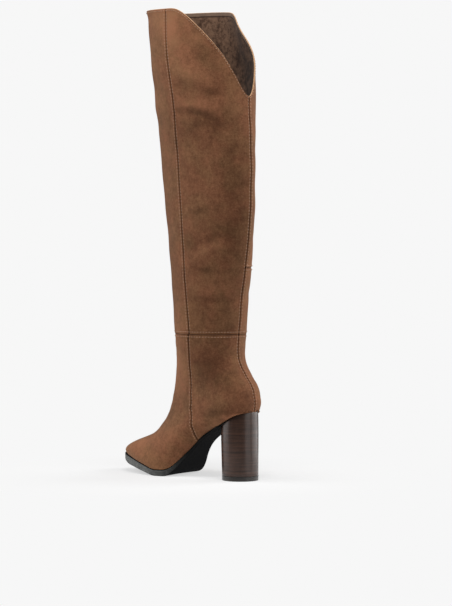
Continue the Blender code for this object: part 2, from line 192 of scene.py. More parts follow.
# Columns: setback, shares of the seat's and the ball's width, sideways shift.
OUTLINE_TABLE = (
    (0.00, 1.00, 0.000, 0.000),
    (0.17, 1.00, 0.000, 0.002),
    (0.21, 0.58, 0.180, 0.008),
    (0.25, 0.18, 0.315, 0.014),
    (0.31, 0.00, 0.392, 0.012),
    (0.37, 0.00, 0.410, 0.004),
    (0.41, 0.00, 0.467, -0.009),
    (0.46, 0.00, 0.609, -0.021),
    (0.50, 0.00, 0.766, -0.026),
    (0.54, 0.00, 0.905, -0.018),
    (0.58, 0.00, 0.976, -0.006),
    (0.63, 0.00, 1.000, -0.003),
    (0.70, 0.00, 0.972, -0.010),
    (0.78, 0.00, 0.905, -0.025),
    (0.88, 0.00, 0.795, -0.050),
    (0.95, 0.00, 0.715, -0.068),
    (1.00, 0.00, 0.680, -0.080),
)
TOE_ROUND_SHARE = 0.73
TOE_TIP_SHARE = 0.996
# Columns: setback, shares of the thickness at the ball, in the waist and at the seat.
SOLE_TABLE = (
    (0.00, 0.00, 0.00, 1.00),
    (0.19, 0.00, 0.10, 0.90),
    (0.23, 0.00, 1.00, 0.00),
    (0.35, 0.00, 1.00, 0.00),
    (0.46, 0.55, 0.45, 0.00),
    (0.54, 1.03, 0.00, 0.00),
    (0.64, 1.03, 0.00, 0.00),
    (0.76, 1.22, 0.00, 0.00),
    (0.87, 1.40, 0.00, 0.00),
    (0.95, 1.20, 0.00, 0.00),
    (1.00, 0.87, 0.00, 0.00),
)
print("places along the bottom:", len(BOTTOM_TABLE), len(OUTLINE_TABLE), len(SOLE_TABLE))

# %% [markdown]
# ## Smooth curves through the tables
#
# A natural spline bends as little as it can between the rows that it passes through. A
# library could draw it, but it is short enough to write out, which shows how it works.

# %% Splines
def natural_spline(knots, values):
    """A smooth curve through the values, one column for each measure, as a function."""
    knots = np.asarray(knots, float)
    values = np.asarray(values, float).reshape(len(knots), -1)
    steps = np.diff(knots)
    slopes = np.diff(values, axis=0) / steps[:, None]
    system = np.eye(len(knots))
    right = np.zeros_like(values)
    for i in range(1, len(knots) - 1):
        system[i, i - 1:i + 2] = steps[i - 1], 2 * (steps[i - 1] + steps[i]), steps[i]
        right[i] = 6 * (slopes[i] - slopes[i - 1])
    bends = np.linalg.solve(system, right)

    def curve(at):
        at = np.clip(np.atleast_1d(np.asarray(at, float)), knots[0], knots[-1])
        i = np.clip(np.searchsorted(knots, at) - 1, 0, len(steps) - 1)
        step = steps[i][:, None]
        right_part = (at - knots[i])[:, None] / step
        left_part = 1 - right_part
        line = left_part * values[i] + right_part * values[i + 1]
        bow = (left_part**3 - left_part) * bends[i] + (right_part**3 - right_part) * bends[i + 1]
        return line + bow * step**2 / 6

    return curve


def straight_curve(knots, values):
    """The same as natural_spline, with straight lines between the rows."""
    values = np.asarray(values, float)
    return lambda at: np.stack([np.interp(at, knots, column) for column in values.T], axis=-1)


def soft_step(value, low, high):
    """0 below low, 1 above high, and a smooth way between."""
    share = np.clip((value - low) / (high - low), 0, 1)
    return share * share * (3 - 2 * share)


def table_curve(table, make=natural_spline):
    """A curve through a table whose first column says where each row lies."""
    rows = np.array(table)
    return make(rows[:, 0], rows[:, 1:])


BOTTOM_CURVE = table_curve(BOTTOM_TABLE)
OUTLINE_CURVE = table_curve(OUTLINE_TABLE)
SOLE_CURVE = table_curve(SOLE_TABLE, straight_curve)
SHAFT_CURVE = table_curve(SHAFT_TABLE)
COLLAR_CURVE = table_curve(COLLAR_TABLE)
HEEL_CURVE = natural_spline(range(len(HEEL_TABLE)), HEEL_TABLE)
FOOT_CURVE = natural_spline(range(len(FOOT_TABLE)), FOOT_TABLE)
print("leg's sections half way up:", SHAFT_CURVE(0.5).round(3))

# %% Bottom of the last
def bottom_height(setback):
    """Height of the upper's lower edge above the floor."""
    heel_rise, toe_rise = np.maximum(BOTTOM_CURVE(np.asarray(setback) / FOOT_LENGTH).T, 0.0)
    return SOLE_TOP + (HEEL_HEIGHT - SOLE_TOP) * heel_rise + TOE_SPRING * toe_rise


BALL_SKEW = 0.10


def skewed_bottom(setback, across):
    """The same height where the ball's line runs obliquely, further back on the outer side."""
    return bottom_height(setback + BALL_SKEW * across)


def quarter_round(share):
    """Width of a quarter circle as its edge is left, from 0 to 1."""
    return np.sqrt(1 - (1 - np.clip(share, 0, 1)) ** 2)


def outline(setback):
    """Half width of the lower edge, and the sideways shift of its middle."""
    setback = np.asarray(setback, float)
    of_seat, of_ball, shift = OUTLINE_CURVE(setback / FOOT_LENGTH).T
    width = of_seat * SEAT_WIDTH / 2 + of_ball * BALL_WIDTH / 2
    toe_length = (TOE_TIP_SHARE - TOE_ROUND_SHARE) * FOOT_LENGTH
    heel_round = quarter_round((setback - COUNTER_START) / (SEAT_WIDTH / 2))
    toe_round = quarter_round((TOE_TIP_SHARE * FOOT_LENGTH - setback) / toe_length)
    return width * heel_round * toe_round, shift * BALL_WIDTH


print("lower edge under the heel and the ball:", in_mm(bottom_height([0, FOOT_LENGTH / 2])), "mm")

# %% [markdown]
# ## Sections
#
# Each section of the boot is a rounded oval, narrower or blunter at its back, and cut off
# where it stands on the sole. A point on it is found by its share of the way round, from the
# back seam to the front. The working frame puts the heel's back at Y = 0 and the toe at -Y.
# Sections could be drawn by hand, but those worked out from the sizes change along with them.

# %% Points on sections
FINE_STEPS = 160
LEAST_HALF = GAP / 100


def running_total(steps, axis=0):
    """The sum of the steps up to each point, from 0 at the first."""
    start = np.zeros_like(np.take(steps, [0], axis=axis))
    return np.concatenate([start, np.cumsum(steps, axis=axis)], axis=axis)


def section_points(front, back, size, girth_shares):
    """One point of each section in a row of sections: the outer side's and the inner side's."""
    half_width, foot_width, widest, low_power, top_power = [part[:, None] for part in size]
    half_width = np.maximum(half_width, LEAST_HALF)
    ratio = np.minimum(foot_width / half_width, 1 / LEAST_BULGE)
    start = np.arcsin(ratio ** (low_power / 2))
    angles = start + (np.pi - start) * np.linspace(0, 1, FINE_STEPS)
    low = angles < np.pi / 2
    power = np.where(low, low_power, top_power)
    out = half_width * np.maximum(np.sin(angles), 0) ** (2 / power)
    cosine = np.abs(np.cos(angles))
    below = widest * (1 - (cosine / np.cos(start)) ** (2 / low_power))
    above = widest + (1 - widest) * cosine ** (2 / top_power)
    share = np.where(low, below, above)
    along = share * np.linalg.norm(front - back, axis=1)[:, None]
    travel = running_total(np.hypot(np.diff(out, axis=1), np.diff(along, axis=1)), axis=1)
    travel /= travel[:, -1:]
    reach, share = [np.array([np.interp(*row) for row in zip(girth_shares, travel, values)])
                    for values in (out, share)]
    middle = back + (front - back) * share[:, None]
    middle[:, 1] *= -1
    sideways = np.outer(reach, (1, 0, 0))
    return middle + sideways, middle - sideways


print("steps round each section:", FINE_STEPS)

# %% Rows of the leg and of the foot
def shaft_row(heights, girth_shares):
    """Points of the leg at these heights above the floor, outer and inner side."""
    lean, length, width, back_power = SHAFT_CURVE((heights - ANKLE_SEAM) / SHAFT_HEIGHT).T
    middle = ANKLE_SETBACK + COLLAR_LEAN * lean
    length = ANKLE_LENGTH + (COLLAR_LENGTH - ANKLE_LENGTH) * length
    half_width = (ANKLE_WIDTH + (COLLAR_WIDTH - ANKLE_WIDTH) * width) / 2
    none = np.zeros_like(heights)
    front, back = [np.stack([none, middle + side * length / 2, heights], axis=1)
                   for side in (1, -1)]
    ankle = dict(zip(SECTION_COLUMNS, HEEL_TABLE[0]))
    size = (half_width, none, none + ankle["widest"], back_power, none + ankle["top_power"])
    return section_points(front, back, size, girth_shares)


def foot_row(places, girth_shares):
    """Points of the foot: places count rows down HEEL_TABLE and on down FOOT_TABLE."""
    seat = len(HEEL_TABLE) - 1
    is_open = places > seat
    rows = np.where(is_open[:, None], FOOT_CURVE(places - seat), HEEL_CURVE(places))
    part = dict(zip(SECTION_COLUMNS, rows.T))
    front, back = part["front"] * FOOT_LENGTH, part["back"] * FOOT_LENGTH
    seam = ANKLE_SEAM - GAP / 2
    front_base = bottom_height(front)
    front_height = front_base + part["front_rise"] * (seam - front_base)
    closed_height = HEEL_HEIGHT + part["back_rise"] * (seam - HEEL_HEIGHT)
    back_height = np.where(is_open, bottom_height(back), closed_height)
    half_width = part["of_ankle"] * ANKLE_WIDTH / 2 + part["of_ball"] * BALL_WIDTH / 2
    foot_width, back_shift = [np.where(is_open, value, 0.0) for value in outline(back)]
    front_shift = np.where(is_open, np.minimum(outline(front)[1], 0.0), 0.0)
    half_width = np.where(is_open, np.maximum(half_width, foot_width * LEAST_BULGE), half_width)
    size = (half_width, foot_width, part["widest"], part["low_power"], part["top_power"])
    fronts = np.stack([front_shift, front, front_height], axis=1)
    backs = np.stack([back_shift, back, back_height], axis=1)
    return section_points(fronts, backs, size, girth_shares)


def collar_height(girth_shares):
    """Height of the collar's edge: level in front, falling to the notch's foot at the back."""
    return ANKLE_SEAM + SHAFT_HEIGHT - NOTCH_DEPTH * COLLAR_CURVE(girth_shares)[:, 0]


print("collar behind and in front:", in_mm(collar_height([0, 1])), "mm high")

# %% [markdown]
# ## Camera
#
# A product picture of a boot is taken from far back with a long lens, so that the leg stays
# straight. The camera stands behind the boot's outer side, near the middle of its height.

# %% Camera
CAMERA_PLACE = (2.155, 2.057, 0.313)
CAMERA_AIM = (-0.7344, -0.6786, -0.0290)
CAMERA_LENS = 134.6
CAMERA_SENSOR = 36.0


def place_object(made, location, looks_along):
    """Links an object whose own -Z axis looks along a direction."""
    made.location = location
    made.rotation_mode = "QUATERNION"
    made.rotation_quaternion = Vector(looks_along).to_track_quat("-Z", "Y")
    bpy.context.scene.collection.objects.link(made)


camera_data = bpy.data.cameras.new("studio_camera")
camera_data.lens = CAMERA_LENS
camera_data.sensor_width = CAMERA_SENSOR
camera = bpy.data.objects.new("studio_camera", camera_data)
place_object(camera, CAMERA_PLACE, CAMERA_AIM)
bpy.context.scene.camera = camera
print("camera at", CAMERA_PLACE, "with a lens of", CAMERA_LENS, "mm")

# %% [markdown]
# ## Writing materials as sums
#
# A material is a graph of nodes. Written out, such a graph hides what it does, so here a
# socket is wrapped in a small class, and `1 - mask` or `grain * 0.5` adds the Math nodes. Any
# other node comes from one method, which sets the node's settings first and then feeds it.

# %% A wrapped socket
class Signal:
    """The output of a node, on which sums are written as in plain Python."""

    def __init__(self, recipe, socket):
        self.recipe = recipe
        self.socket = socket

    def math(self, operation, first, second):
        return self.recipe.node("ShaderNodeMath", {"operation": operation},
                                {0: first, 1: second})

    def __add__(self, other):
        return self.math("ADD", self, other)

    def __radd__(self, other):
        return self.math("ADD", other, self)

    def __sub__(self, other):
        return self.math("SUBTRACT", self, other)

    def __rsub__(self, other):
        return self.math("SUBTRACT", other, self)

    def __mul__(self, other):
        return self.math("MULTIPLY", self, other)

    def __rmul__(self, other):
        return self.math("MULTIPLY", other, self)


print("sums that a socket takes:", "+ - *")

# %% A material being mixed
COLOUR_A, COLOUR_B, COLOUR_OUT = 6, 7, 2
LAYER_COLUMNS = ("name", "grain_size", "detail", "roughness", "distortion", "across", "tall",
                 "weight")


def named_rows(columns, table):
    """The rows of a table, each with its values under their columns' names."""
    return [dict(zip(columns, row)) for row in table]


class Recipe:
    """A material being mixed. node() adds any node, and the rest are the common ones."""

    def __init__(self, name, **constants):
        self.material = bpy.data.materials.new(name)
        self.material.use_nodes = True
        self.tree = self.material.node_tree
        self.shader = self.tree.nodes["Principled BSDF"]
        self.finish(**constants)

    def feed(self, socket, value):
        if isinstance(value, Signal):
            self.tree.links.new(value.socket, socket)
        else:
            socket.default_value = value

    def node(self, kind, settings=None, inputs=None, output=0):
        made = self.tree.nodes.new(kind)
        for name, value in (settings or {}).items():
            setattr(made, name, value)
        for name, value in (inputs or {}).items():
            self.feed(made.inputs[name], value)
        return Signal(self, made.outputs[output])

    def place(self, stretch=None):
        """Where a point lies on the boot, in metres. A stretch draws a pattern out or in."""
        here = self.node("ShaderNodeTexCoord", output="Object")
        if stretch is None:
            return here
        return self.node("ShaderNodeVectorMath", {"operation": "MULTIPLY"}, {0: here, 1: stretch})

    def noise(self, grain_size, detail=3.0, roughness=0.55, distortion=0.0, stretch=None):
        """Cloudy noise from 0 to 1, whose clouds are about grain_size metres across."""
        inputs = {"Vector": self.place(stretch), "Scale": 1 / grain_size, "Detail": detail,
                  "Roughness": roughness, "Distortion": distortion}
        return self.node("ShaderNodeTexNoise", {}, inputs, output="Fac")

    def layers(self, table):
        """Layers of noise from the rows of a table, by name, and their sum by weight."""
        layer, total = {}, 0.0
        for row in named_rows(LAYER_COLUMNS, table):
            made = self.noise(row["grain_size"], row["detail"], row["roughness"],
                              row["distortion"], (row["across"], row["across"], row["tall"]))
            layer[row["name"]] = made
            total = total + made * row["weight"]
        return layer, total

    def ramp(self, signal, low, high, from_value=0.0, to_value=1.0):
        """The signal's range from low to high, spread smoothly over another range."""
        inputs = {"Value": signal, "From Min": low, "From Max": high,
                  "To Min": from_value, "To Max": to_value}
        return self.node("ShaderNodeMapRange", {"interpolation_type": "SMOOTHSTEP"}, inputs)

    def mix(self, share, first, second):
        """Two colours mixed by a share from 0 to 1."""
        inputs = {0: share, COLOUR_A: first, COLOUR_B: second}
        return self.node("ShaderNodeMix", {"data_type": "RGBA"}, inputs, output=COLOUR_OUT)

    def attribute(self, name):
        """A number that the mesh holds at each of its points."""
        return self.node("ShaderNodeAttribute", {"attribute_name": name}, output="Fac")

    def bump(self, height, depth):
        """A surface normal for a relief whose full height is depth metres."""
        return self.node("ShaderNodeBump", {}, {"Height": height, "Distance": depth,
                                                "Strength": 1.0})

    def finish(self, **inputs):
        for name, value in inputs.items():
            self.feed(self.shader.inputs[name.replace("_", " ")], value)
        return self.material


print("a recipe can:", [name for name in vars(Recipe) if not name.startswith("_")])

# %% Colours and plain finishes
def colour(red, green, blue):
    """A colour given as a screen shows it, from 0 to 255, as the linear light it stands for."""
    levels = [value / 255 for value in (red, green, blue)]
    linear = [v / 12.92 if v <= 0.04045 else ((v + 0.055) / 1.055) ** 2.4 for v in levels]
    return (*linear, 1.0)


NOISE_SPAN = (0.3, 0.7)


def grained(name, grain_size, detail, dark, light, rough, relief, **constants):
    """A plain finish, whose fine grain runs from a dark tone to a light one."""
    mixing = Recipe(name, **constants)
    grain = mixing.noise(grain_size, detail)
    tone = mixing.mix(mixing.ramp(grain, *NOISE_SPAN), colour(*dark), colour(*light))
    if relief:
        mixing.finish(Normal=mixing.bump(grain, relief))
    return mixing.finish(Base_Color=tone, Roughness=mixing.ramp(grain, 0, 1, *rough))


print("middle grey as light:", round(colour(128, 128, 128)[0], 3))

# %% [markdown]
# ## Suede
#
# Suede is the flesh side of a hide, brushed up into a short nap. It has no gloss. The nap lies in
# different directions from place to place, which makes cloudy patches. Shade is painted darker
# inside folds and grooves, and a highlight is painted lighter on ridges. The mesh stores how far a
# point lies on a ridge or in a fold, and how much lighter or darker it is painted there, for nap
# patches and for painted light and shade.

# %% Suede
SUEDE_DEEP = (colour(87, 54, 36), colour(85, 57, 37))
SUEDE_LIGHT = (colour(150, 101, 73), colour(146, 103, 73))
SUEDE_RUBBED = colour(210, 170, 140)
# The next colour is painted shade, mixed into the deepest grooves and folds.
SUEDE_GROOVE_SHADE = colour(60, 36, 24)
DYE_CLOUD = 0.030
DYE_RAMP = (0.35, 0.65)
SHADE_RAMP = (0.40, 0.92)
GROOVE_SHADE_RAMP = (-1.5, -0.4, 0.9, 0.0)
ROUGH_RAMP = (0.2, 0.8, 0.88, 0.97)
NAP_AND_LIGHT_WEIGHT, SHADE_AND_HIGHLIGHT_WEIGHT = 0.16, 0.10
GRAIN_SHARE, MOTTLE_SHARE = 0.6, 0.4
NAP_RELIEF = 0.0006
NAP_TABLE = (
    ("clouds", 0.055, 3, 0.50, 0.3, 1, 1.0, 0.22),
    ("wisps", 0.016, 3, 0.55, 0.0, 1, 0.7, 0.24),
    ("mottle", 0.0065, 2, 0.60, 0.0, 1, 1.0, 0.24),
    ("grain", 0.0030, 3, 0.80, 0.0, 1, 1.0, 0.34),
    ("fuzz", 0.0013, 2, 0.80, 0.0, 1, 1.0, 0.26),
)


def suede(name):
    """Brushed brown suede, whose mesh holds its painted shade and highlight, and its nap patches
    with painted light and shade.
    """
    mixing = Recipe(name, Specular_IOR_Level=0.08, Sheen_Weight=0.28, Sheen_Roughness=0.5,
                    Sheen_Tint=SUEDE_RUBBED)
    layer, cloudy = mixing.layers(NAP_TABLE)
    # Painted light and shade: the mesh's numbers make the suede darker in folds and grooves and
    # lighter on ridges, and its nap patches are partly painted light and shade.
    fold = mixing.attribute("fold")
    tone = cloudy + mixing.attribute("nap") * NAP_AND_LIGHT_WEIGHT + fold * SHADE_AND_HIGHLIGHT_WEIGHT
    shade = mixing.ramp(tone, *SHADE_RAMP)
    dye = mixing.ramp(mixing.noise(DYE_CLOUD, detail=2.0), *DYE_RAMP)
    ground = mixing.mix(shade, mixing.mix(dye, *SUEDE_DEEP), mixing.mix(dye, *SUEDE_LIGHT))
    # Painted shade: the deepest grooves and folds turn a dark brown.
    pressed_and_shaded = mixing.ramp(fold, *GROOVE_SHADE_RAMP)
    height = layer["grain"] * GRAIN_SHARE + layer["mottle"] * MOTTLE_SHARE
    return mixing.finish(Base_Color=mixing.mix(pressed_and_shaded, ground, SUEDE_GROOVE_SHADE),
                         Roughness=mixing.ramp(layer["wisps"], *ROUGH_RAMP),
                         Normal=mixing.bump(height, NAP_RELIEF))


SUEDE = suede("brushed_suede")
print("suede mixed from", len(SUEDE.node_tree.nodes), "nodes")

# %% [markdown]
# ## Meshes from grids
#
# Every skin of the boot is a grid of points: rings from the bottom up, and columns round it.
# It could be modelled by hand. In a grid, though, each point's neighbours are known, so that
# seams and folds are pressed in by plain sums on arrays.

# %% Grid meshes
BODY = "root"
NEARLY_NONE = 1e-12


def grid_faces(rows, columns):
    """Corner numbers of the four-sided faces of a grid that is closed round its columns."""
    row, column = np.meshgrid(np.arange(rows - 1), np.arange(columns), indexing="ij")
    following = (column + 1) % columns
    corners = (row * columns + column, (row + 1) * columns + column,
               (row + 1) * columns + following, row * columns + following)
    return np.stack(corners, axis=-1).reshape(-1, 4)


def capped_faces(rows, columns):
    """The faces of a closed grid, with one more over each of its two ends."""
    last = (rows - 1) * columns
    ends = [range(columns), range(last, last + columns)[::-1]]
    return [*grid_faces(rows, columns).tolist(), *map(list, ends)]


def add_mesh(name, points, faces, finish):
    """An object made of points and faces, with one finish."""
    mesh = bpy.data.meshes.new(name)
    mesh.from_pydata(points.tolist(), [], [[int(corner) for corner in face] for face in faces])
    mesh.materials.append(finish)
    made = bpy.data.objects.new(name, mesh)
    bpy.context.scene.collection.objects.link(made)
    return made


def add_piece(name, points, faces, finish, replaced):
    """A smooth mesh piece with one finish, which takes the place of a part of the solid model."""
    points = np.asarray(points, float).reshape(-1, 3) + (0.0, BACK_Y, 0.0)
    made = add_mesh(name, points, faces, finish)
    mesh = made.data
    mesh.validate()
    mesh.shade_smooth()
    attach(made, BODY)
    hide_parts(replaced)
    print(name, len(mesh.polygons), "faces, mm:", in_mm((*points.min(axis=0), *points.max(axis=0))))
    return made


def store(piece, name, values):
    """Keeps one number for each of the mesh's points, for its material to read."""
    layer = piece.data.attributes.new(name, "FLOAT", "POINT")
    layer.data.foreach_set("value", np.asarray(values, np.float32).ravel())


def unit(vectors):
    """The same directions, each 1 long."""
    return vectors / np.maximum(np.linalg.norm(vectors, axis=-1, keepdims=True), NEARLY_NONE)


def grid_normals(grid):
    """Outward directions at the points of a grid whose rings run from the outer side round."""
    onward = (np.roll(grid, -1, axis=1) - np.roll(grid, 1, axis=1)) / 2
    return unit(np.cross(np.gradient(grid, axis=0), onward))


print("faces of the least closed grid:", len(grid_faces(2, 3)))

# %% [markdown]
# ## Columns that follow the seams
#
# The leg is cut from a front and a back panel, joined by a seam down each side and by one at
# the back. The side seams wander forwards and back as they go up. The grid's columns follow
# them, and crowd together beside them, so that a fine groove can be pressed in there.

# %% Side seams and columns
SIDE_SEAM_COLUMN = 0.56
FOOT_SEAM_COLUMN = 0.42
CLOSE_COLUMNS = 22
KEPT_DIGITS = 6
# Columns of both: share of the height, share of the way round.
SHAFT_SEAM_TABLE = (
    (0.000, 0.484),
    (0.103, 0.516),
    (0.225, 0.552),
    (0.347, 0.574),
    (0.440, 0.586),
    (0.531, 0.578),
    (0.637, 0.561),
    (0.728, 0.542),
    (0.773, 0.545),
    (0.865, 0.556),
    (1.000, 0.547),
)
FOOT_SEAM_TABLE = (
    (0.000, 0.394),
    (0.103, 0.405),
    (0.200, 0.4135),
    (0.265, 0.4215),
    (0.340, 0.4320),
    (0.420, 0.4400),
    (0.540, 0.4455),
    (0.674, 0.444),
    (0.769, 0.418),
    (0.861, 0.389),
    (0.950, 0.371),
    (1.000, 0.368),
)
SHAFT_SEAM = table_curve(SHAFT_SEAM_TABLE)
FOOT_SEAM = table_curve(FOOT_SEAM_TABLE)


def seam_columns(plain, seam, reach):
    """Places from 0 to 1 for columns, closer together within reach of the back and side seam."""
    offsets = np.linspace(-reach, reach, CLOSE_COLUMNS + 1)
    places = [np.linspace(0, 1, plain + 1), offsets, seam + offsets]
    return np.unique(np.clip(np.concatenate(places), 0, 1).round(KEPT_DIGITS))


def follow_seam(columns, seam_column, seam_place):
    """Moves columns so that the one at seam_column lies at seam_place, and the ends stay."""
    before = soft_step(columns, 0, seam_column)
    behind = soft_step(1 - columns, 0, 1 - seam_column)
    return columns + (seam_place - seam_column) * np.where(columns < seam_column, before, behind)


SHAFT_COLUMNS_AT = seam_columns(132, SIDE_SEAM_COLUMN, 0.019)
FOOT_COLUMNS_AT = seam_columns(120, FOOT_SEAM_COLUMN, 0.020)
print("columns a side:", len(SHAFT_COLUMNS_AT), "on the leg,", len(FOOT_COLUMNS_AT), "on the foot")

# %% Rings of the leg
SHAFT_RINGS = 236
CROSS_SEAM_RISE = 0.0860
CROSS_REACH = 0.0045
CROSS_RINGS = 17
FINE_RISES = (0.0002, 0.0004, 0.0007, 0.0011, 0.0016, 0.0022, 0.0030)
LEVEL_SHARE = 0.26


def shaft_climbs():
    """Shares of the leg's height for its rings, closer at the ankle's edge and the cross seam."""
    beside = np.linspace(-CROSS_REACH, CROSS_REACH, CROSS_RINGS) + CROSS_SEAM_RISE
    close = np.concatenate([FINE_RISES, beside]) / SHAFT_HEIGHT
    return np.unique(np.concatenate([np.linspace(0, 1, SHAFT_RINGS), close]).round(KEPT_DIGITS))


def ring_rises(climb, girth):
    """Height of a ring above the ankle seam: level low down, and along the collar at the top."""
    collar = collar_height(girth) - ANKLE_SEAM
    return climb * (SHAFT_HEIGHT + (collar - SHAFT_HEIGHT) * soft_step(climb, LEVEL_SHARE, 1))


print("rings of the leg:", len(shaft_climbs()))

# %% Grid of the leg
INNER_RISE = 0.0033
INNER_RISE_ROUND = 0.60
INNER_RISE_HALF = 0.22
INNER_RISE_POWER = 8


def bell(away, half):
    """1 at the middle, falling softly to 0 on both sides."""
    return np.exp(-(away / half) ** 2)


def whole_ring(outer, inner):
    """A closed ring from the outer side's points and the inner side's, back to front to back."""
    return np.concatenate([outer, inner[-2:0:-1]])


def shaft_grid(climbs, columns):
    """Points of the leg's inside, with how far round each lies: 0 to 1 outside, to 2 inside."""
    grid, shares = [], []
    for climb in climbs:
        girth = follow_seam(columns, SIDE_SEAM_COLUMN, float(SHAFT_SEAM(climb)[0, 0]))
        heights = ANKLE_SEAM + np.maximum(ring_rises(climb, girth), GAP / 2)
        outer, inner = shaft_row(heights, girth)
        lift = INNER_RISE * climb**INNER_RISE_POWER
        inner[:, 2] += lift * bell(girth - INNER_RISE_ROUND, INNER_RISE_HALF)
        grid.append(whole_ring(outer, inner))
        shares.append(whole_ring(girth, 2 - girth))
    return np.array(grid), np.array(shares)


SHAFT_GRID, SHAFT_ROUND = shaft_grid(shaft_climbs(), SHAFT_COLUMNS_AT)
SHAFT_OUT = grid_normals(SHAFT_GRID)
print("leg grid", SHAFT_GRID.shape)

# %% Grid of the foot
FOOT_RINGS = 170
COLUMN_BEND_POWER = 1.4
COLUMN_SPREAD_POWER = 1.15
HEEL_ROWS = len(HEEL_TABLE) - 1
FOOT_ROWS = len(FOOT_TABLE) - 1
LEAST_ACROSS = 1 / 24


def foot_grid(rings, columns):
    """Points of the foot's outside, from the lower edge up to the ankle seam."""
    grid, rounds = [], []
    for climb in np.linspace(0, 1, rings):
        across = follow_seam(columns, FOOT_SEAM_COLUMN, float(FOOT_SEAM(climb)[0, 0]))
        places = (1 - climb**COLUMN_BEND_POWER) * (HEEL_ROWS + FOOT_ROWS * across)
        passed = np.maximum(places - HEEL_ROWS, 0) / (FOOT_ROWS * np.maximum(across, LEAST_ACROSS))
        spread = np.sin(across * np.pi / 2) ** COLUMN_SPREAD_POWER
        left = spread * (1 - passed)
        girth = left / (left + 1 - spread + NEARLY_NONE) if climb > 0 else np.zeros_like(left)
        outer, inner = foot_row(places, girth)
        grid.append(whole_ring(outer, inner))
        rounds.append(whole_ring(across, 2 - across))
    return np.array(grid), np.array(rounds)


FOOT_GRID, FOOT_ROUND = foot_grid(FOOT_RINGS, FOOT_COLUMNS_AT)
FOOT_OUT = grid_normals(FOOT_GRID)
print("foot grid", FOOT_GRID.shape)

# %% [markdown]
# ## Folds
#
# A soft leg sags into shallow folds. Each is a line across the panel, pressed in or pushed
# out with a soft round profile that fades at its ends. A line is given by three places on
# the leg: the share of the way round from the back seam to the front, and the share of the
# shaft's height.

# %% Fold tables
FOLD_COLUMNS = ("side", "start_round", "start_height", "middle_round", "middle_height",
                "end_round", "end_height", "half_width", "push")
OUTER, INNER = 1, -1
FOLD_TABLE = (
    (OUTER, 0.500, 0.806, 0.371, 0.785, 0.270, 0.760, 0.0060, 0.0009),
    (OUTER, 0.520, 0.768, 0.420, 0.752, 0.330, 0.742, 0.0045, -0.0008),
    (OUTER, 0.330, 0.748, 0.244, 0.731, 0.150, 0.722, 0.0045, -0.0011),
    (OUTER, 0.560, 0.693, 0.380, 0.691, 0.280, 0.676, 0.0038, 0.0010),
    (OUTER, 0.560, 0.674, 0.361, 0.672, 0.190, 0.640, 0.0042, -0.0017),
    (OUTER, 0.300, 0.655, 0.200, 0.628, 0.090, 0.610, 0.0050, -0.0009),
    (OUTER, 0.500, 0.379, 0.400, 0.388, 0.300, 0.403, 0.0030, 0.0008),
    (OUTER, 0.500, 0.362, 0.400, 0.368, 0.320, 0.380, 0.0042, -0.0009),
    (OUTER, 0.510, 0.257, 0.300, 0.288, 0.140, 0.320, 0.0048, -0.0014),
    (OUTER, 0.430, 0.232, 0.300, 0.257, 0.180, 0.273, 0.0036, 0.0010),
    (OUTER, 0.460, 0.202, 0.340, 0.192, 0.240, 0.190, 0.0042, -0.0011),
    (OUTER, 0.400, 0.127, 0.280, 0.126, 0.140, 0.127, 0.0048, 0.0009),
    (OUTER, 0.490, 0.098, 0.280, 0.103, 0.040, 0.106, 0.0045, -0.0012),
    (OUTER, 0.880, 0.760, 0.760, 0.756, 0.640, 0.740, 0.0060, -0.0012),
    (OUTER, 0.900, 0.700, 0.780, 0.696, 0.660, 0.700, 0.0060, 0.0010),
    (OUTER, 0.900, 0.650, 0.780, 0.652, 0.660, 0.640, 0.0060, -0.0012),
    (INNER, 0.120, 0.640, 0.280, 0.660, 0.500, 0.650, 0.0050, -0.0014),
    (INNER, 0.180, 0.700, 0.330, 0.715, 0.520, 0.700, 0.0055, 0.0009),
    (INNER, 0.100, 0.560, 0.250, 0.545, 0.430, 0.560, 0.0050, -0.0010),
    (INNER, 0.080, 0.300, 0.250, 0.275, 0.450, 0.255, 0.0048, -0.0013),
    (INNER, 0.150, 0.235, 0.300, 0.222, 0.460, 0.210, 0.0042, 0.0009),
    (INNER, 0.080, 0.130, 0.280, 0.120, 0.480, 0.100, 0.0045, -0.0012),
    (INNER, 0.620, 0.170, 0.780, 0.150, 0.950, 0.160, 0.0055, -0.0009),
)
FOLD_SOFTNESS = 1.4
FOLD_STRENGTH = 0.75
FOLD_STEPS = 25
FADE_START, FADE_SPAN, FADE_POWER = 0.12, 0.76, 1.2


def soft_line(rounds, heights, girth, row):
    """How close each point lies to a bent line, from 1 on it to 0, in the leg's own sizes."""
    knots = [(row[end + "_round"] * girth, row[end + "_height"] * SHAFT_HEIGHT)
             for end in ("start", "middle", "end")]
    at = natural_spline([0, 0.5, 1], knots)(np.linspace(0, 1, FOLD_STEPS))
    best = np.full(rounds.shape, np.inf)
    share = np.zeros(rounds.shape)
    for i, (across, up) in enumerate(at):
        away = np.hypot(rounds * girth - across, heights - up)
        nearer = away < best
        best[nearer] = away[nearer]
        share[nearer] = i / (FOLD_STEPS - 1)
    fade = np.sin(np.pi * np.clip(FADE_START + FADE_SPAN * share, 0, 1)) ** FADE_POWER
    return bell(best, FOLD_SOFTNESS * row["half_width"]) * fade


SWELL_WAVES = 7
SWELL_GAIN = 1.6
SWELL_TURNS = 5
SWELL_CLIMBS = 9


def panel_swell(rounds, heights, seed):
    """Slow swells of the whole leg, a few centimetres across, from -1 to 1."""
    draw = np.random.default_rng(seed)
    swell = np.zeros(rounds.shape)
    for _ in range(SWELL_WAVES):
        turns = draw.integers(1, SWELL_TURNS)
        climbs = draw.uniform(-SWELL_CLIMBS, SWELL_CLIMBS)
        phase = draw.uniform(0, 2 * np.pi)
        swell += np.sin(np.pi * turns * rounds + 2 * np.pi * climbs * heights + phase)
    return swell / SWELL_WAVES * SWELL_GAIN


print("folds in the leg:", len(FOLD_TABLE))

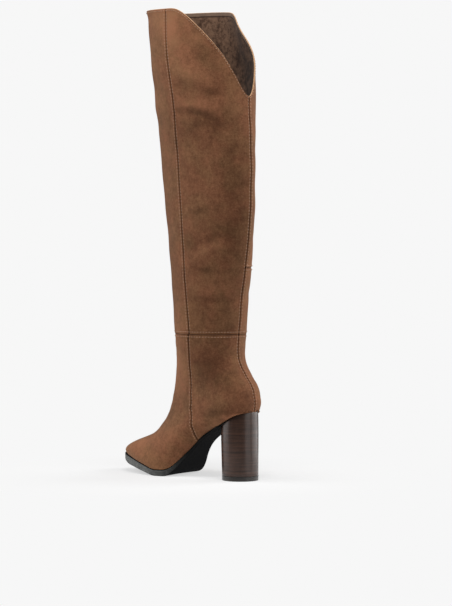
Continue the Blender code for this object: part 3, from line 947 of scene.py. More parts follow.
# %% Seam profiles
SEAM_HALF = 0.0008
SEAM_DEPTH = 0.0010
SHADOW_HALF = 0.0011
SHOULDER_AT = 0.0027
SHOULDER_HALF = 0.0012
SHOULDER_RISE = 0.0003
# Seam shoulders get a painted highlight, and the groove gets painted shade.
SHOULDER_PAINTED_HIGHLIGHT = 0.6
GROOVE_PAINTED_SHADE = 1.35


def seam_relief_and_shade(away):
    """Relief and tone across a seam: a groove with painted shade between two soft shoulders with a
    painted highlight.
    """
    shoulder = bell(np.abs(away) - SHOULDER_AT, SHOULDER_HALF)
    relief = SHOULDER_RISE * shoulder - SEAM_DEPTH * bell(away, SEAM_HALF)
    return np.array([relief, SHOULDER_PAINTED_HIGHLIGHT * shoulder - GROOVE_PAINTED_SHADE * bell(away, SHADOW_HALF)])


def round_travel(grid, column):
    """Length along each ring from one column to every other, the shorter way round."""
    ahead = running_total(np.linalg.norm(np.roll(grid, -1, axis=1) - grid, axis=2), axis=1)
    total = ahead[:, -1:]
    travel = (ahead[:, :-1] - ahead[:, column:column + 1]) % total
    return np.where(travel > total / 2, travel - total, travel)


def seam_numbers(grid, columns, place):
    """Numbers of the columns at the back seam, the outer side's seam and the inner side's."""
    side = int(np.argmin(np.abs(columns - place)))
    return 0, side, grid.shape[1] - side


SHAFT_SEAMS = seam_numbers(SHAFT_GRID, SHAFT_COLUMNS_AT, SIDE_SEAM_COLUMN)
FOOT_SEAMS = seam_numbers(FOOT_GRID, FOOT_COLUMNS_AT, FOOT_SEAM_COLUMN)
print("seam columns:", SHAFT_SEAMS, FOOT_SEAMS)

# %% [markdown]
# ## Leg skin
#
# The leg's outside is pressed in at its seams and folds, and pushed out at its ridges. Both are
# kept on the mesh as one number, from which the suede is painted darker in a fold as shade and
# lighter on a ridge as a highlight. The inner side has one more seam across it, where the leg's
# back panel was cut in two. All this could be sculpted, but named sizes and tables give the same
# skin each time.

# %% Relief of the leg
SHAFT_RISE = SHAFT_GRID[..., 2] - ANKLE_SEAM
SHAFT_UP = SHAFT_RISE / SHAFT_HEIGHT
HALF_GIRTH = COLLAR_LENGTH + COLLAR_WIDTH / 2
SWELL_RISE = 0.0005
FULL_FOLD = 0.0015
# Points further round than this belong to the other side, and are kept out of its folds.
FRONT_WRAP = 1.2
OUT_OF_REACH = 9.0


def leg_folds():
    """The folds and swells of the leg, with painted shade in the folds and a painted highlight on
    the ridges.
    """
    push = SWELL_RISE * panel_swell(SHAFT_ROUND, SHAFT_UP, seed=7)
    tone = np.zeros(SHAFT_ROUND.shape)
    for row in named_rows(FOLD_COLUMNS, FOLD_TABLE):
        rounds = SHAFT_ROUND if row["side"] == OUTER else 2 - SHAFT_ROUND
        rounds = np.where(rounds > FRONT_WRAP, OUT_OF_REACH, rounds)
        here = FOLD_STRENGTH * row["push"] * soft_line(rounds, SHAFT_RISE, HALF_GIRTH, row)
        push += here
        # Painted shade in a pressed-in fold, and a painted highlight on a pushed-out ridge.
        tone += here / FULL_FOLD
    return push, tone


def leg_seams():
    """The grooves and shoulders along the leg's seams, with painted shade in the grooves and
    painted highlights on the shoulders.
    """
    pressed_and_shaded = sum(seam_relief_and_shade(round_travel(SHAFT_GRID, column)) for column in SHAFT_SEAMS)
    side = SHAFT_ROUND[:, SHAFT_SEAMS[1]:SHAFT_SEAMS[1] + 1]
    crossed = seam_relief_and_shade(SHAFT_RISE - CROSS_SEAM_RISE)
    return pressed_and_shaded + np.where(SHAFT_ROUND > 2 - side, crossed, 0)


HEM_ROLL = 0.0007
FLAP_ROUND = 0.325
FLAP_HALF = 0.12
FLAP_DEPTH = 0.042
FLAP_LEAN = (0.0086, -0.0056, 0.0)
RIM_DEPTH = 0.007
RIM_FLARE = 0.0024
RIM_ROUND = 0.93
RIM_HALF = 0.22


def collar_shift():
    """How far the soft collar has moved: the inner flap leans in, and the front rim flares."""
    edge = collar_height(np.minimum(SHAFT_ROUND, 2 - SHAFT_ROUND).ravel())
    below = edge.reshape(SHAFT_ROUND.shape) - SHAFT_GRID[..., 2]
    flap = bell(2 - SHAFT_ROUND - FLAP_ROUND, FLAP_HALF) * bell(below, FLAP_DEPTH)
    rim = bell(SHAFT_ROUND - RIM_ROUND, RIM_HALF) * bell(below, RIM_DEPTH)
    return flap[..., None] * FLAP_LEAN + RIM_FLARE * rim[..., None] * SHAFT_OUT


COLLAR_SHIFT = collar_shift()
FOLD_PUSH, FOLD_SHADE_AND_HIGHLIGHT = leg_folds()
SEAM_PUSH, SEAM_SHADE_AND_HIGHLIGHT = leg_seams()
SHAFT_PUSH = (SHAFT_WALL + FOLD_PUSH + SEAM_PUSH) * quarter_round(SHAFT_RISE / HEM_ROLL)
SHAFT_SKIN = SHAFT_GRID + COLLAR_SHIFT + SHAFT_OUT * SHAFT_PUSH[..., None]
print("folds in mm:", in_mm((FOLD_PUSH.min(), FOLD_PUSH.max())))

# %% [markdown]
# Here and there the nap was brushed another way, and lies lighter or darker in a patch. Some of the
# patches are painted light and shade, lighter where more light falls on the boot and darker where
# less falls.

# %% Nap patches
PATCH_COLUMNS = ("round", "height", "half_round", "half_height", "lightness")
# Patches of nap on the leg, some of which are painted light and shade.
NAP_AND_LIGHT_PATCH_TABLE = (
    (0.520, 0.930, 0.060, 0.080, 1.0),
    (0.470, 0.850, 0.050, 0.060, 0.3),
    (0.300, 0.850, 0.080, 0.030, -0.6),
    (0.490, 0.766, 0.050, 0.020, -0.4),
    (0.244, 0.735, 0.070, 0.018, -0.7),
    (0.350, 0.700, 0.160, 0.020, 0.3),
    (0.300, 0.640, 0.160, 0.016, -0.5),
    (0.730, 0.800, 0.040, 0.040, 0.4),
    (0.500, 0.300, 0.050, 0.020, -0.3),
    (0.090, 0.150, 0.100, 0.100, 0.4),
    (0.620, 0.050, 0.080, 0.080, 0.5),
    (0.400, 0.200, 0.150, 0.020, -0.4),
    (0.600, 0.980, 0.160, 0.060, 0.95),
    (0.380, 0.800, 0.160, 0.090, 0.50),
    (0.120, 0.230, 0.100, 0.250, -0.45),
    (0.850, 0.180, 0.120, 0.200, -0.55),
    (1.930, 0.180, 0.060, 0.200, 0.7),
    (0.300, 0.020, 0.200, 0.040, -0.3),
)


def nap_patches(rounds, heights, table):
    """How much lighter or darker each point is painted, by nap patches and by painted light and
    shade.
    """
    nap = np.zeros(rounds.shape)
    for row in named_rows(PATCH_COLUMNS, table):
        across = bell(rounds - row["round"], row["half_round"])
        nap += row["lightness"] * across * bell(heights - row["height"], row["half_height"])
    return nap


def suede_piece(name, skin, fold, nap, replaced):
    """A skin of suede with its two numbers."""
    piece = add_piece(name, skin, grid_faces(*skin.shape[:2]), SUEDE, replaced)
    store(piece, "fold", fold)
    store(piece, "nap", nap)


SHAFT_NAP_AND_PAINTED_LIGHT = nap_patches(SHAFT_ROUND, SHAFT_UP, NAP_AND_LIGHT_PATCH_TABLE)
suede_piece("leg_suede", SHAFT_SKIN, FOLD_SHADE_AND_HIGHLIGHT + SEAM_SHADE_AND_HIGHLIGHT, SHAFT_NAP_AND_PAINTED_LIGHT, "shaft")

# %% [markdown]
# ## Foot skin
#
# The foot is lasted: pulled tight over a form, so it has far fewer folds than the leg. Its
# side seams carry on from those of the leg down to the sole. It is pressed in the same way,
# and its lowest rings turn in under the foot, so that no open edge shows above the sole.

# %% Relief of the foot
FOOT_RISE = ANKLE_SEAM - FOOT_GRID[..., 2]
CLIMBS = np.linspace(0, 1, FOOT_RINGS)[:, None] + np.zeros(FOOT_ROUND.shape)
EDGE_SMOOTH = 0.07
FOOT_SWELL_RISE = 0.0002
ANKLE_PAINTED_SHADOW = 1.0
ANKLE_FULL = 0.0013
ANKLE_FADE = 0.022
INSTEP_HALF = 0.30
INSTEP_COLUMNS = ("height", "half_height", "full")
INSTEP_TABLE = (
    (0.088, 0.018, 0.0022),
    (0.056, 0.010, -0.0009),
)
SEAT_OVERHANG = 0.0012
SEAT_OVERHANG_END = 0.20
SEAT_OVERHANG_CLIMB = 0.10


def foot_relief():
    """The seams and full places of the foot, with painted shade in the seam grooves and under the
    ankle hem, and painted highlights on the seam shoulders.
    """
    push, tone = sum(seam_relief_and_shade(round_travel(FOOT_GRID, column)) for column in FOOT_SEAMS)
    # Painted shadow under the leg's hem, where it overhangs the foot.
    tone = tone - ANKLE_PAINTED_SHADOW * bell(FOOT_RISE, SEAM_HALF)
    push = push * soft_step(CLIMBS, 0.0, EDGE_SMOOTH) + ANKLE_FULL * bell(FOOT_RISE, ANKLE_FADE)
    front = bell(FOOT_ROUND - 1, INSTEP_HALF)
    for row in named_rows(INSTEP_COLUMNS, INSTEP_TABLE):
        push += row["full"] * front * bell(FOOT_GRID[..., 2] - row["height"], row["half_height"])
    over_heel = 1 - soft_step(-FOOT_GRID[..., 1] / FOOT_LENGTH, 0.0, SEAT_OVERHANG_END)
    push += SEAT_OVERHANG * over_heel * bell(CLIMBS, SEAT_OVERHANG_CLIMB)
    swell = panel_swell(FOOT_ROUND, FOOT_RISE / ANKLE_RISE, seed=12)
    return push + FOOT_SWELL_RISE * swell, tone


FOOT_PUSH, FOOT_SHADE_AND_HIGHLIGHT = foot_relief()
print("relief of the foot in mm:", in_mm((FOOT_PUSH.min(), FOOT_PUSH.max())))

# %% Foot
TUCK_START = 0.92
TUCK_SHARE = 0.13
SKEW_CLIMB = 0.22
TURNED_IN = (0.0030, 0.0012)
# The turned-in rings are painted dark, as shade in the gap above the sole.
TURNED_PAINTED_SHADE = -1.0
# Patches of nap on the foot, some of which are painted light and shade.
FOOT_NAP_AND_LIGHT_PATCH_TABLE = (
    (0.560, 0.860, 0.120, 0.140, 0.9),
    (0.250, 0.800, 0.120, 0.160, -0.9),
    (0.280, 0.300, 0.120, 0.140, -0.9),
    (0.700, 0.500, 0.100, 0.200, -0.5),
    (0.520, 0.180, 0.070, 0.120, 0.4),
    (0.700, 0.180, 0.080, 0.140, 0.6),
    (1.970, 0.350, 0.050, 0.300, 0.5),
)


def tucked_toe(points):
    """Draws the toe's tip back a little, so that the sole stands out in front of it."""
    past = np.maximum(-points[..., 1] - TUCK_START * FOOT_LENGTH, 0)
    return points + TUCK_SHARE * past[..., None] * (0, 1, 0)


def skew_lift():
    """How far the oblique ball line lifts or lowers each point, most at the lower edge."""
    across, setback = FOOT_GRID[..., 0].ravel(), -FOOT_GRID[..., 1].ravel()
    lift = skewed_bottom(setback, across) - bottom_height(setback)
    return lift.reshape(CLIMBS.shape) * bell(CLIMBS, SKEW_CLIMB)


def with_turned_edge(skin, fold, nap):
    """Adds rings that turn in under the foot, as the lasted edge does above the sole, painted dark
    as shade in the gap.
    """
    inwards = -FOOT_OUT[0] * (1, 1, 0)
    inwards /= np.maximum(np.linalg.norm(inwards, axis=1, keepdims=True), GAP)
    rings = [skin[:1] + inwards * reach for reach in TURNED_IN]
    dark = np.full((len(TURNED_IN), fold.shape[1]), TURNED_PAINTED_SHADE)
    return (np.concatenate([*rings, skin]), np.concatenate([dark, fold]),
            np.concatenate([nap[:1]] * len(TURNED_IN) + [nap]))


FOOT_SKIN = tucked_toe(FOOT_GRID + FOOT_OUT * FOOT_PUSH[..., None])
FOOT_SKIN[..., 2] += skew_lift()
FOOT_NAP_AND_PAINTED_LIGHT = nap_patches(FOOT_ROUND, CLIMBS, FOOT_NAP_AND_LIGHT_PATCH_TABLE)
suede_piece("foot_suede", *with_turned_edge(FOOT_SKIN, FOOT_SHADE_AND_HIGHLIGHT, FOOT_NAP_AND_PAINTED_LIGHT), "upper")

# %% [markdown]
# ## Lining
#
# Inside, a thin dark brown lining lies against the suede, a wall's thickness in. It is only
# seen at the collar, so it can be a coarser grid than the suede.

# %% Lining
HEM_AT = 0.0052
HEM_HALF = 0.0009
HEM_BAND_START = 0.6
HEM_BAND = 0.55
HEM_SHADOW_STRENGTH = 0.75
LINING_DEEP = colour(60, 41, 30)
LINING_LIGHT = colour(118, 90, 71)
LINING_PALE = colour(128, 108, 94)
# The next colour is painted shadow, for the line under the collar's rolled edge.
LINING_PAINTED_SHADOW = colour(34, 23, 18)
LINING_RAMP = (0.38, 0.62)
LINING_ROUGH = (0, 1, 0.8, 0.95)
LINING_RELIEF = 0.0005
LINING_TABLE = (
    ("clouds", 0.0160, 4, 0.65, 0.4, 1, 1, 0.42),
    ("mottle", 0.0042, 3, 0.70, 0.0, 1, 1, 0.42),
    ("grain", 0.0012, 2, 0.55, 0.0, 1, 1, 0.16),
)


def lining_finish():
    """Brushed lining, with a lighter band above a painted shadow line under the collar's rolled
    edge.
    """
    mixing = Recipe("brown_lining", Specular_IOR_Level=0.15, Sheen_Weight=0.1)
    layer, cloudy = mixing.layers(LINING_TABLE)
    cloth = mixing.mix(mixing.ramp(cloudy, *LINING_RAMP), LINING_DEEP, LINING_LIGHT)
    below = mixing.attribute("below_edge")
    band = mixing.ramp(below, HEM_BAND_START * HEM_AT, HEM_AT, HEM_BAND, 0.0)
    cloth = mixing.mix(band, cloth, LINING_PALE)
    # Painted shadow: a dark line below the collar's rolled edge.
    line = mixing.node("ShaderNodeMath", {"operation": "COMPARE"},
                       {0: below, 1: HEM_AT, 2: HEM_HALF})
    relief = mixing.bump((layer["grain"] + layer["mottle"]) * 0.5, LINING_RELIEF)
    return mixing.finish(Base_Color=mixing.mix(line * HEM_SHADOW_STRENGTH, cloth, LINING_PAINTED_SHADOW),
                         Roughness=mixing.ramp(layer["grain"], *LINING_ROUGH), Normal=relief)


LINING = lining_finish()
LINING_STEP = 3
LINING_FINE_ROWS = 6
FAR_BELOW = 1.0


def add_lining(name, inside, below_collar, replaced):
    """The inside of a part, a coarser copy of its grid that faces inwards."""
    rows = np.arange(len(inside))
    rows = rows[(rows % LINING_STEP == 0) | (rows >= len(inside) - LINING_FINE_ROWS)]
    inside = inside[rows, ::LINING_STEP]
    faces = grid_faces(*inside.shape[:2])[:, ::-1]
    piece = add_piece(name, inside, faces, LINING, replaced)
    steps = np.linalg.norm(np.diff(inside, axis=0), axis=2)
    store(piece, "below_edge", running_total(steps[::-1])[::-1] + below_collar)


SHAFT_INSIDE = SHAFT_GRID + COLLAR_SHIFT + SHAFT_OUT * FOLD_PUSH[..., None]
add_lining("leg_lining", SHAFT_INSIDE, 0.0, "shaft")
add_lining("foot_lining", tucked_toe(FOOT_GRID - FOOT_OUT * FOOT_WALL), FAR_BELOW, "upper")

# %% [markdown]
# ## Collar edge
#
# The collar is cut and left raw. Its edge shows the hide's paler core as a thin tan line. A
# strip over the wall's top edge, a little rounded, closes the gap between suede and lining.

# %% Collar edge
RAW_EDGE = grained("raw_cut_edge", 0.0012, 3.0, (168, 128, 94), (205, 166, 130), (0.75, 0.95),
                   0.0003, Specular_IOR_Level=0.2)
EDGE_CROWN = 0.0005
EDGE_ROWS = 6


def collar_edge():
    """A narrow rounded strip from the suede's top edge over to the lining's."""
    share = np.linspace(0, 1, EDGE_ROWS)[:, None, None]
    crown = EDGE_CROWN * np.sin(np.pi * share) * (0, 0, 1)
    rings = SHAFT_SKIN[-1] + (SHAFT_INSIDE[-1] - SHAFT_SKIN[-1]) * share + crown
    add_piece("collar_edge", rings, grid_faces(*rings.shape[:2]), RAW_EDGE, "shaft")


collar_edge()

# %% [markdown]
# ## Outsole
#
# A thin black rubber sole is cemented to the foot. It is thickest at the ball, thin in the
# waist, and thinnest over the heel, and its edge stands out a little past the suede. It could
# be cut from a slab, but a short profile swept round its outline keeps the edge crisp.

# %% Outsole's outline
SOLE_STATIONS = 180
SEAT_HIDDEN = 0.0040
SEAT_HIDDEN_START, SEAT_HIDDEN_END = 0.174, 0.186
TOE_REACH = 0.0024
TOE_REACH_START = 0.78


def sole_stations():
    """Setbacks from the heel's back to the toe's tip, closer together at both ends."""
    turn = np.linspace(0, np.pi, SOLE_STATIONS)
    length = TOE_TIP_SHARE * FOOT_LENGTH - COUNTER_START
    return COUNTER_START + length * (1 - np.cos(turn)) / 2


def edge_inset(stations):
    """How far in the sole's edge lies: hidden in the heel at the seat, standing out at the toe."""
    setback = stations / FOOT_LENGTH
    seat = 1 - soft_step(setback, SEAT_HIDDEN_START, SEAT_HIDDEN_END)
    toe = soft_step(setback, TOE_REACH_START, 1.0)
    return (SEAT_HIDDEN * seat - TOE_REACH * toe - SOLE_MARGIN)[:, None]


def edge_line(stations, inset):
    """The lower edge's outline moved inwards: outer and inner points at each station, in plan."""
    half_width, shift = outline(stations)
    sides = []
    for side in (1, -1):
        line = np.stack([shift + side * half_width, stations], axis=1)
        travel = np.gradient(line, axis=0)
        travel[0], travel[-1] = (side, 0.0), (-side, 0.0)
        travel /= np.linalg.norm(travel, axis=1)[:, None]
        inwards = side * np.stack([-travel[:, 1], travel[:, 0]], axis=1)
        sides.append(line + inset * inwards)
    return sides


print("stations along the sole:", SOLE_STATIONS)

# %% Outsole's profile
THIN_SOONER = 0.08
SOLE_PROFILE_COLUMNS = ("inset", "depth")
SOLE_PROFILE = (
    (0.0040, 0.000),
    (0.0012, 0.000),
    (0.0004, 0.030),
    (0.0000, 0.120),
    (0.0001, 0.400),
    (0.0002, 0.700),
    (0.0003, 0.880),
    (0.0007, 0.970),
    (0.0014, 1.000),
    (0.0030, 1.000),
)


def sole_thickness(setback, across):
    """The sole is thinner sooner towards its inner side, where the ball lies further forward."""
    inwards = soft_step(-across / BALL_WIDTH, -0.5, 0.5)
    shares = SOLE_CURVE(setback / FOOT_LENGTH - THIN_SOONER * inwards)
    return shares @ (SOLE_THICKNESS, WAIST_THICKNESS, SEAT_THICKNESS)


def sole_ring(inset, depth):
    """One line round the sole: moved inwards, and depth of the way from its top to its foot."""
    rings = []
    stations = sole_stations()
    for line in edge_line(stations, inset + edge_inset(stations)):
        across, setback = line.T
        top = skewed_bottom(setback, across) - SOLE_GAP
        foot = np.maximum(top - sole_thickness(setback, across), 0.0)
        rings.append(np.stack([across, -setback, top + (foot - top) * depth], axis=1))
    return np.concatenate([rings[0], rings[1][::-1]])


print("points in one line round the sole:", len(sole_ring(0.0, 0.0)))

# %% [markdown]
# The rubber is matt, grey at its edge and nearly black underneath. Towards the waist and heel the
# edge is painted darker, as shade where it turns in under the arch. The mesh holds how much of each
# point shows the grey edge.

# %% Outsole finish and piece
# Where the sole's edge starts and ends its painted shade, as shares of the foot's length.
EDGE_SHADE_START = 0.44
EDGE_SHADE_END = 0.70
EDGE_DARKEST = 0.08
EDGE_TOP, EDGE_FOOT = 0.1, 0.95
RUBBER_DARK = colour(84, 85, 84)
RUBBER_LIGHT = colour(110, 111, 109)
RUBBER_UNDER = colour(14, 14, 15)
WEAR_SIZE, RUBBER_GRAIN = 0.005, 0.0008
EDGE_ROUGH = (0.5, 0.65)
UNDER_ROUGH = 0.95
RUBBER_RELIEF = 0.0002


def sole_finish():
    """Matt black rubber with a grey edge where the mesh's number edge is 1, painted darker as shade
    where the number is lower.
    """
    mixing = Recipe("black_sole_rubber", Specular_IOR_Level=0.06)
    wear = mixing.noise(WEAR_SIZE, detail=4.0, roughness=0.6)
    grain = mixing.noise(RUBBER_GRAIN, detail=2.0)
    rubber = mixing.mix(mixing.ramp(wear, *NOISE_SPAN), RUBBER_DARK, RUBBER_LIGHT)
    side = mixing.attribute("edge")
    rough = mixing.ramp(wear, *NOISE_SPAN, *EDGE_ROUGH) * side + (1 - side) * UNDER_ROUGH
    return mixing.finish(Base_Color=mixing.mix(side, RUBBER_UNDER, rubber), Roughness=rough,
                         Normal=mixing.bump(grain, RUBBER_RELIEF))


def make_outsole():
    """The sole's rings, closed above and below by faces from side to side."""
    rows = named_rows(SOLE_PROFILE_COLUMNS, SOLE_PROFILE)
    rings = np.array([sole_ring(row["inset"], row["depth"]) for row in rows])
    count = rings.shape[1]
    faces = grid_faces(len(rings), count)[:, ::-1].tolist()
    last = (len(rings) - 1) * count
    for i in range(count // 2 - 1):
        across = (i, i + 1, count - 2 - i, count - 1 - i)
        faces.append(across[::-1])
        faces.append(tuple(last + corner for corner in across))
    piece = add_piece("rubber_outsole", rings, faces, sole_finish(), "outsole")
    on_edge = [float(EDGE_TOP < row["depth"] < EDGE_FOOT) for row in rows]
    setback = -rings[0, :, 1] / FOOT_LENGTH
    # Painted shade: the grey edge is painted darker towards the waist and heel, where it turns in
    # under the arch.
    painted_edge_light = EDGE_DARKEST + (1 - EDGE_DARKEST) * soft_step(setback, EDGE_SHADE_START, EDGE_SHADE_END)
    store(piece, "edge", np.outer(on_edge, painted_edge_light))


make_outsole()

# %% [markdown]
# ## Heel
#
# The heel is a round block of stacked leather slices with a flat breast in front. It was
# turned, stained dark and polished, so thin level lines run round it under a soft gloss. A
# thin top lift of rubber below it takes the wear.

# %% Heel shape
HEEL_EASE = 0.0009
HEEL_TURN_STEPS = 72
HEEL_BREAST_STEPS = 18
CORNER_TURN = 0.06


def heel_ring(diameter, inset, height):
    """One level line round the heel block, with its two breast corners eased."""
    radius = diameter / 2
    reach = HEEL_BREAST * diameter / HEEL_DIAMETER
    stop = np.arccos(1 - reach / radius)
    turn = np.linspace(0, stop - CORNER_TURN, HEEL_TURN_STEPS)
    side = np.stack([(radius - inset) * np.sin(turn),
                     HEEL_BACK + radius - (radius - inset) * np.cos(turn)], axis=1)
    half = radius * np.sin(stop)
    across = np.linspace(1, 0, HEEL_BREAST_STEPS)[1:]
    ease = HEEL_EASE * np.exp(-((1 - across) * half / HEEL_EASE))
    breast = np.stack([(half - HEEL_EASE - inset) * across,
                       HEEL_BACK + reach - inset - ease], axis=1)
    line = np.concatenate([side, breast])
    points = np.stack([line[:, 0], -line[:, 1], np.full(len(line), height)], axis=1)
    return np.concatenate([points, points[-2:0:-1] * (-1, 1, 1)])


STACK_RINGS = 24
HEEL_RIM = 0.0004
HEEL_RIM_PROFILE = ((1.0, 0.0), (0.3, 0.3), (0.0, 1.0))
HEEL_SEAT_INSET = 0.0006
SEAT_INSET_POWER = 6


def stack_rings(low, high, low_diameter, high_diameter, top_inset):
    """Level lines from a block's foot to its top, with rounded rims."""
    rings = []
    for inset, rise in HEEL_RIM_PROFILE:
        rings.append(heel_ring(low_diameter, inset * HEEL_RIM, low + rise * HEEL_RIM))
    for share in np.linspace(0, 1, STACK_RINGS)[1:-1]:
        diameter = low_diameter + (high_diameter - low_diameter) * share
        inset = top_inset * share**SEAT_INSET_POWER
        rings.append(heel_ring(diameter, inset, low + (high - low) * share))
    for inset, rise in HEEL_RIM_PROFILE[::-1]:
        inset = top_inset + inset * HEEL_RIM
        rings.append(heel_ring(high_diameter, inset, high - rise * HEEL_RIM))
    return np.array(rings)


def under_foot(rings, low, high):
    """Stretches the block's lines so that its top follows the underside of the foot."""
    top = skewed_bottom(-rings[..., 1].ravel(), rings[..., 0].ravel()) - GAP / 3
    share = np.clip((rings[..., 2] - low) / (high - low), 0, 1)
    rings[..., 2] = low + (top.reshape(share.shape) - low) * share
    return rings


print("lines round the heel:", STACK_RINGS + 2 * len(HEEL_RIM_PROFILE) - 2)

# %% [markdown]
# Each slice of leather took the stain in its own way. Noise that is drawn out level gives
# slices and scratches that run round the block, and a clear coat gives the polish.

# %% Heel and top lift
HEEL_DARK = colour(40, 23, 14)
HEEL_LIGHT = colour(70, 45, 33)
LIFT_DARK = colour(31, 27, 24)
LIFT_LIGHT = colour(46, 41, 37)
HEEL_LAYER, LIFT_LAYER = 0.0022, 0.003
STAIN_TABLE = (
    ("fine", 0.0007, 3, 0.55, 0.0, 0.06, 1.0, 0.35),
    ("stain", 0.014, 3, 0.55, 0.0, 1.00, 0.4, 0.20),
)
SLICE_ROW = (2, 0.50, 0.0, 0.03, 1.0, 0.45)
STAIN_RAMP = (0.36, 0.64)
POLISH_ROUGH = (0.30, 0.42)
POLISH_COAT = (0.2, 0.4)
FINE_SHARE, SLICE_SHARE = 0.6, 0.4
POLISH_RELIEF = 0.0001


def stacked_finish(name, dark, light, layer_height):
    """Thin slices of stained leather, each its own shade, with fine scratches round them."""
    mixing = Recipe(name, Specular_IOR_Level=0.3, Coat_Roughness=0.2)
    layer, cloudy = mixing.layers((("slices", layer_height, *SLICE_ROW), *STAIN_TABLE))
    height = layer["fine"] * FINE_SHARE + layer["slices"] * SLICE_SHARE
    return mixing.finish(Base_Color=mixing.mix(mixing.ramp(cloudy, *STAIN_RAMP), dark, light),
                         Roughness=mixing.ramp(layer["fine"], *NOISE_SPAN, *POLISH_ROUGH),
                         Normal=mixing.bump(height, POLISH_RELIEF),
                         Coat_Weight=mixing.ramp(layer["stain"], *NOISE_SPAN, *POLISH_COAT))


HEEL_ENDS = (TOP_LIFT_THICKNESS + GAP / 3, HEEL_HEIGHT)
BLOCK = stack_rings(*HEEL_ENDS, HEEL_FOOT_DIAMETER, HEEL_DIAMETER, HEEL_SEAT_INSET)
LEATHER = stacked_finish("stacked_leather", HEEL_DARK, HEEL_LIGHT, HEEL_LAYER)
add_piece("stacked_heel", under_foot(BLOCK, *HEEL_ENDS), capped_faces(*BLOCK.shape[:2]),
          LEATHER, "heel")

LIFT = stack_rings(0.0, TOP_LIFT_THICKNESS, HEEL_FOOT_DIAMETER, HEEL_FOOT_DIAMETER, 0.0)
LIFT_RUBBER = stacked_finish("top_lift_rubber_finish", LIFT_DARK, LIFT_LIGHT, LIFT_LAYER)
add_piece("rubber_top_lift", LIFT, capped_faces(*LIFT.shape[:2]), LIFT_RUBBER,
          "top_lift")

# %% [markdown]
# ## Footbed
#
# The insole lies out of sight, deep in the foot. The solid model's own piece is kept, with a
# finish of plain tan leather.

# %% Footbed
FOOTBED = grained("footbed_leather", 0.0015, 4.0, (120, 92, 68), (150, 118, 90), (0.6, 0.8),
                  0.0002, Specular_IOR_Level=0.3)
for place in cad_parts["insole"].material_slots:
    place.material = FOOTBED
print("footbed finished with", FOOTBED.name)

# %% [markdown]
# ## Stitches
#
# Each seam is held down by a row of stitches on either side. A stitch is a short thread that
# rises from one hole and sinks into the next, so it is modelled as a small humped capsule.

# %% Stitch maker
THREAD_DIAMETER = 0.0010
STITCH_PITCH = 0.0040
STITCH_SHARE = 0.56
THREAD_SIDES = 6
THREAD_COLUMNS = ("share", "width", "lift")
THREAD_TABLE = (
    (0.00, 0.35, -0.25),
    (0.12, 0.85, 0.10),
    (0.50, 1.00, 0.30),
    (0.88, 0.85, 0.10),
    (1.00, 0.35, -0.25),
)
A_LITTLE = 1e-4
LEAST_PATH = 3
THREAD = grained("sewing_thread", 0.0009, 2.0, (150, 111, 84), (184, 145, 115), (0.6, 0.85),
                 None, Specular_IOR_Level=0.3, Sheen_Weight=0.2)


def stitch_row(path, out):
    """Points and faces of the stitches along a line on the skin, whose outward side is out."""
    travel = running_total(np.linalg.norm(np.diff(path, axis=0), axis=1))
    count = int(travel[-1] / STITCH_PITCH)
    starts = (np.arange(count) + 0.5 * (1 - STITCH_SHARE)) * travel[-1] / count
    length = STITCH_SHARE * travel[-1] / count

    def along(values, at):
        return np.stack([np.interp(at, travel, column) for column in values.T], axis=1)

    turns = np.linspace(0, 2 * np.pi, THREAD_SIDES, endpoint=False)
    rings = []
    for knot in named_rows(THREAD_COLUMNS, THREAD_TABLE):
        at = starts + knot["share"] * length
        outward = unit(along(out, at))
        onward = unit(along(path, at + A_LITTLE) - along(path, at - A_LITTLE))
        sideways = unit(np.cross(outward, onward))
        middle = along(path, at) + outward * knot["lift"] * THREAD_DIAMETER
        radius = THREAD_DIAMETER / 2 * knot["width"]
        ring = [middle + radius * (np.cos(turn) * sideways + np.sin(turn) * outward)
                for turn in turns]
        rings.append(np.stack(ring, axis=1))
    size = len(rings) * THREAD_SIDES
    one = capped_faces(len(rings), THREAD_SIDES)
    faces = [[corner + size * stitch for corner in face]
             for stitch in range(count) for face in one]
    return np.stack(rings, axis=1).reshape(-1, 3), faces


def stitches(name, rows, replaced):
    """All the rows of one seam as a single piece."""
    points, faces, total = [], [], 0
    for path, out in rows:
        if len(path) >= LEAST_PATH:
            made, corners = stitch_row(path, out)
            faces += [[corner + total for corner in face] for face in corners]
            points.append(made)
            total += len(made)
    add_piece(name, np.concatenate(points), faces, THREAD, replaced)


print("length of a stitch:", in_mm([STITCH_PITCH * STITCH_SHARE]), "mm")

# %% Lines beside the seams
def level_line(grid, out, travel, distance, columns):
    """Where each column is crossed, at a distance from the ring where its travel is 0."""
    return [np.array([[np.interp(distance, travel[:, i], values[:, i, axis]) for axis in range(3)]
                      for i in columns]) for values in (grid, out)]


def beside_seam(grid, out, column, away, rings):
    """A line up the skin at a distance to one side of a seam's column."""
    travel = round_travel(grid, column).T
    order = np.argsort(travel, axis=0)
    grid, out = [np.take_along_axis(values.swapaxes(0, 1), order[..., None], axis=0)
                 for values in (grid, out)]
    return level_line(grid, out, np.take_along_axis(travel, order, axis=0), away, rings)


def column_travel(grid):
    """Length up each column from its lowest point."""
    return running_total(np.linalg.norm(np.diff(grid, axis=0), axis=2))


SHAFT_TRAVEL = column_travel(SHAFT_SKIN)
FOOT_TRAVEL = column_travel(FOOT_SKIN)
print("longest way up the leg:", in_mm([SHAFT_TRAVEL.max()]), "mm")

# %% [markdown]
# Two rows run along each upright seam and along the cross seam. One row runs above the leg's
# hem, one below the ankle seam on the foot, and one round the collar.

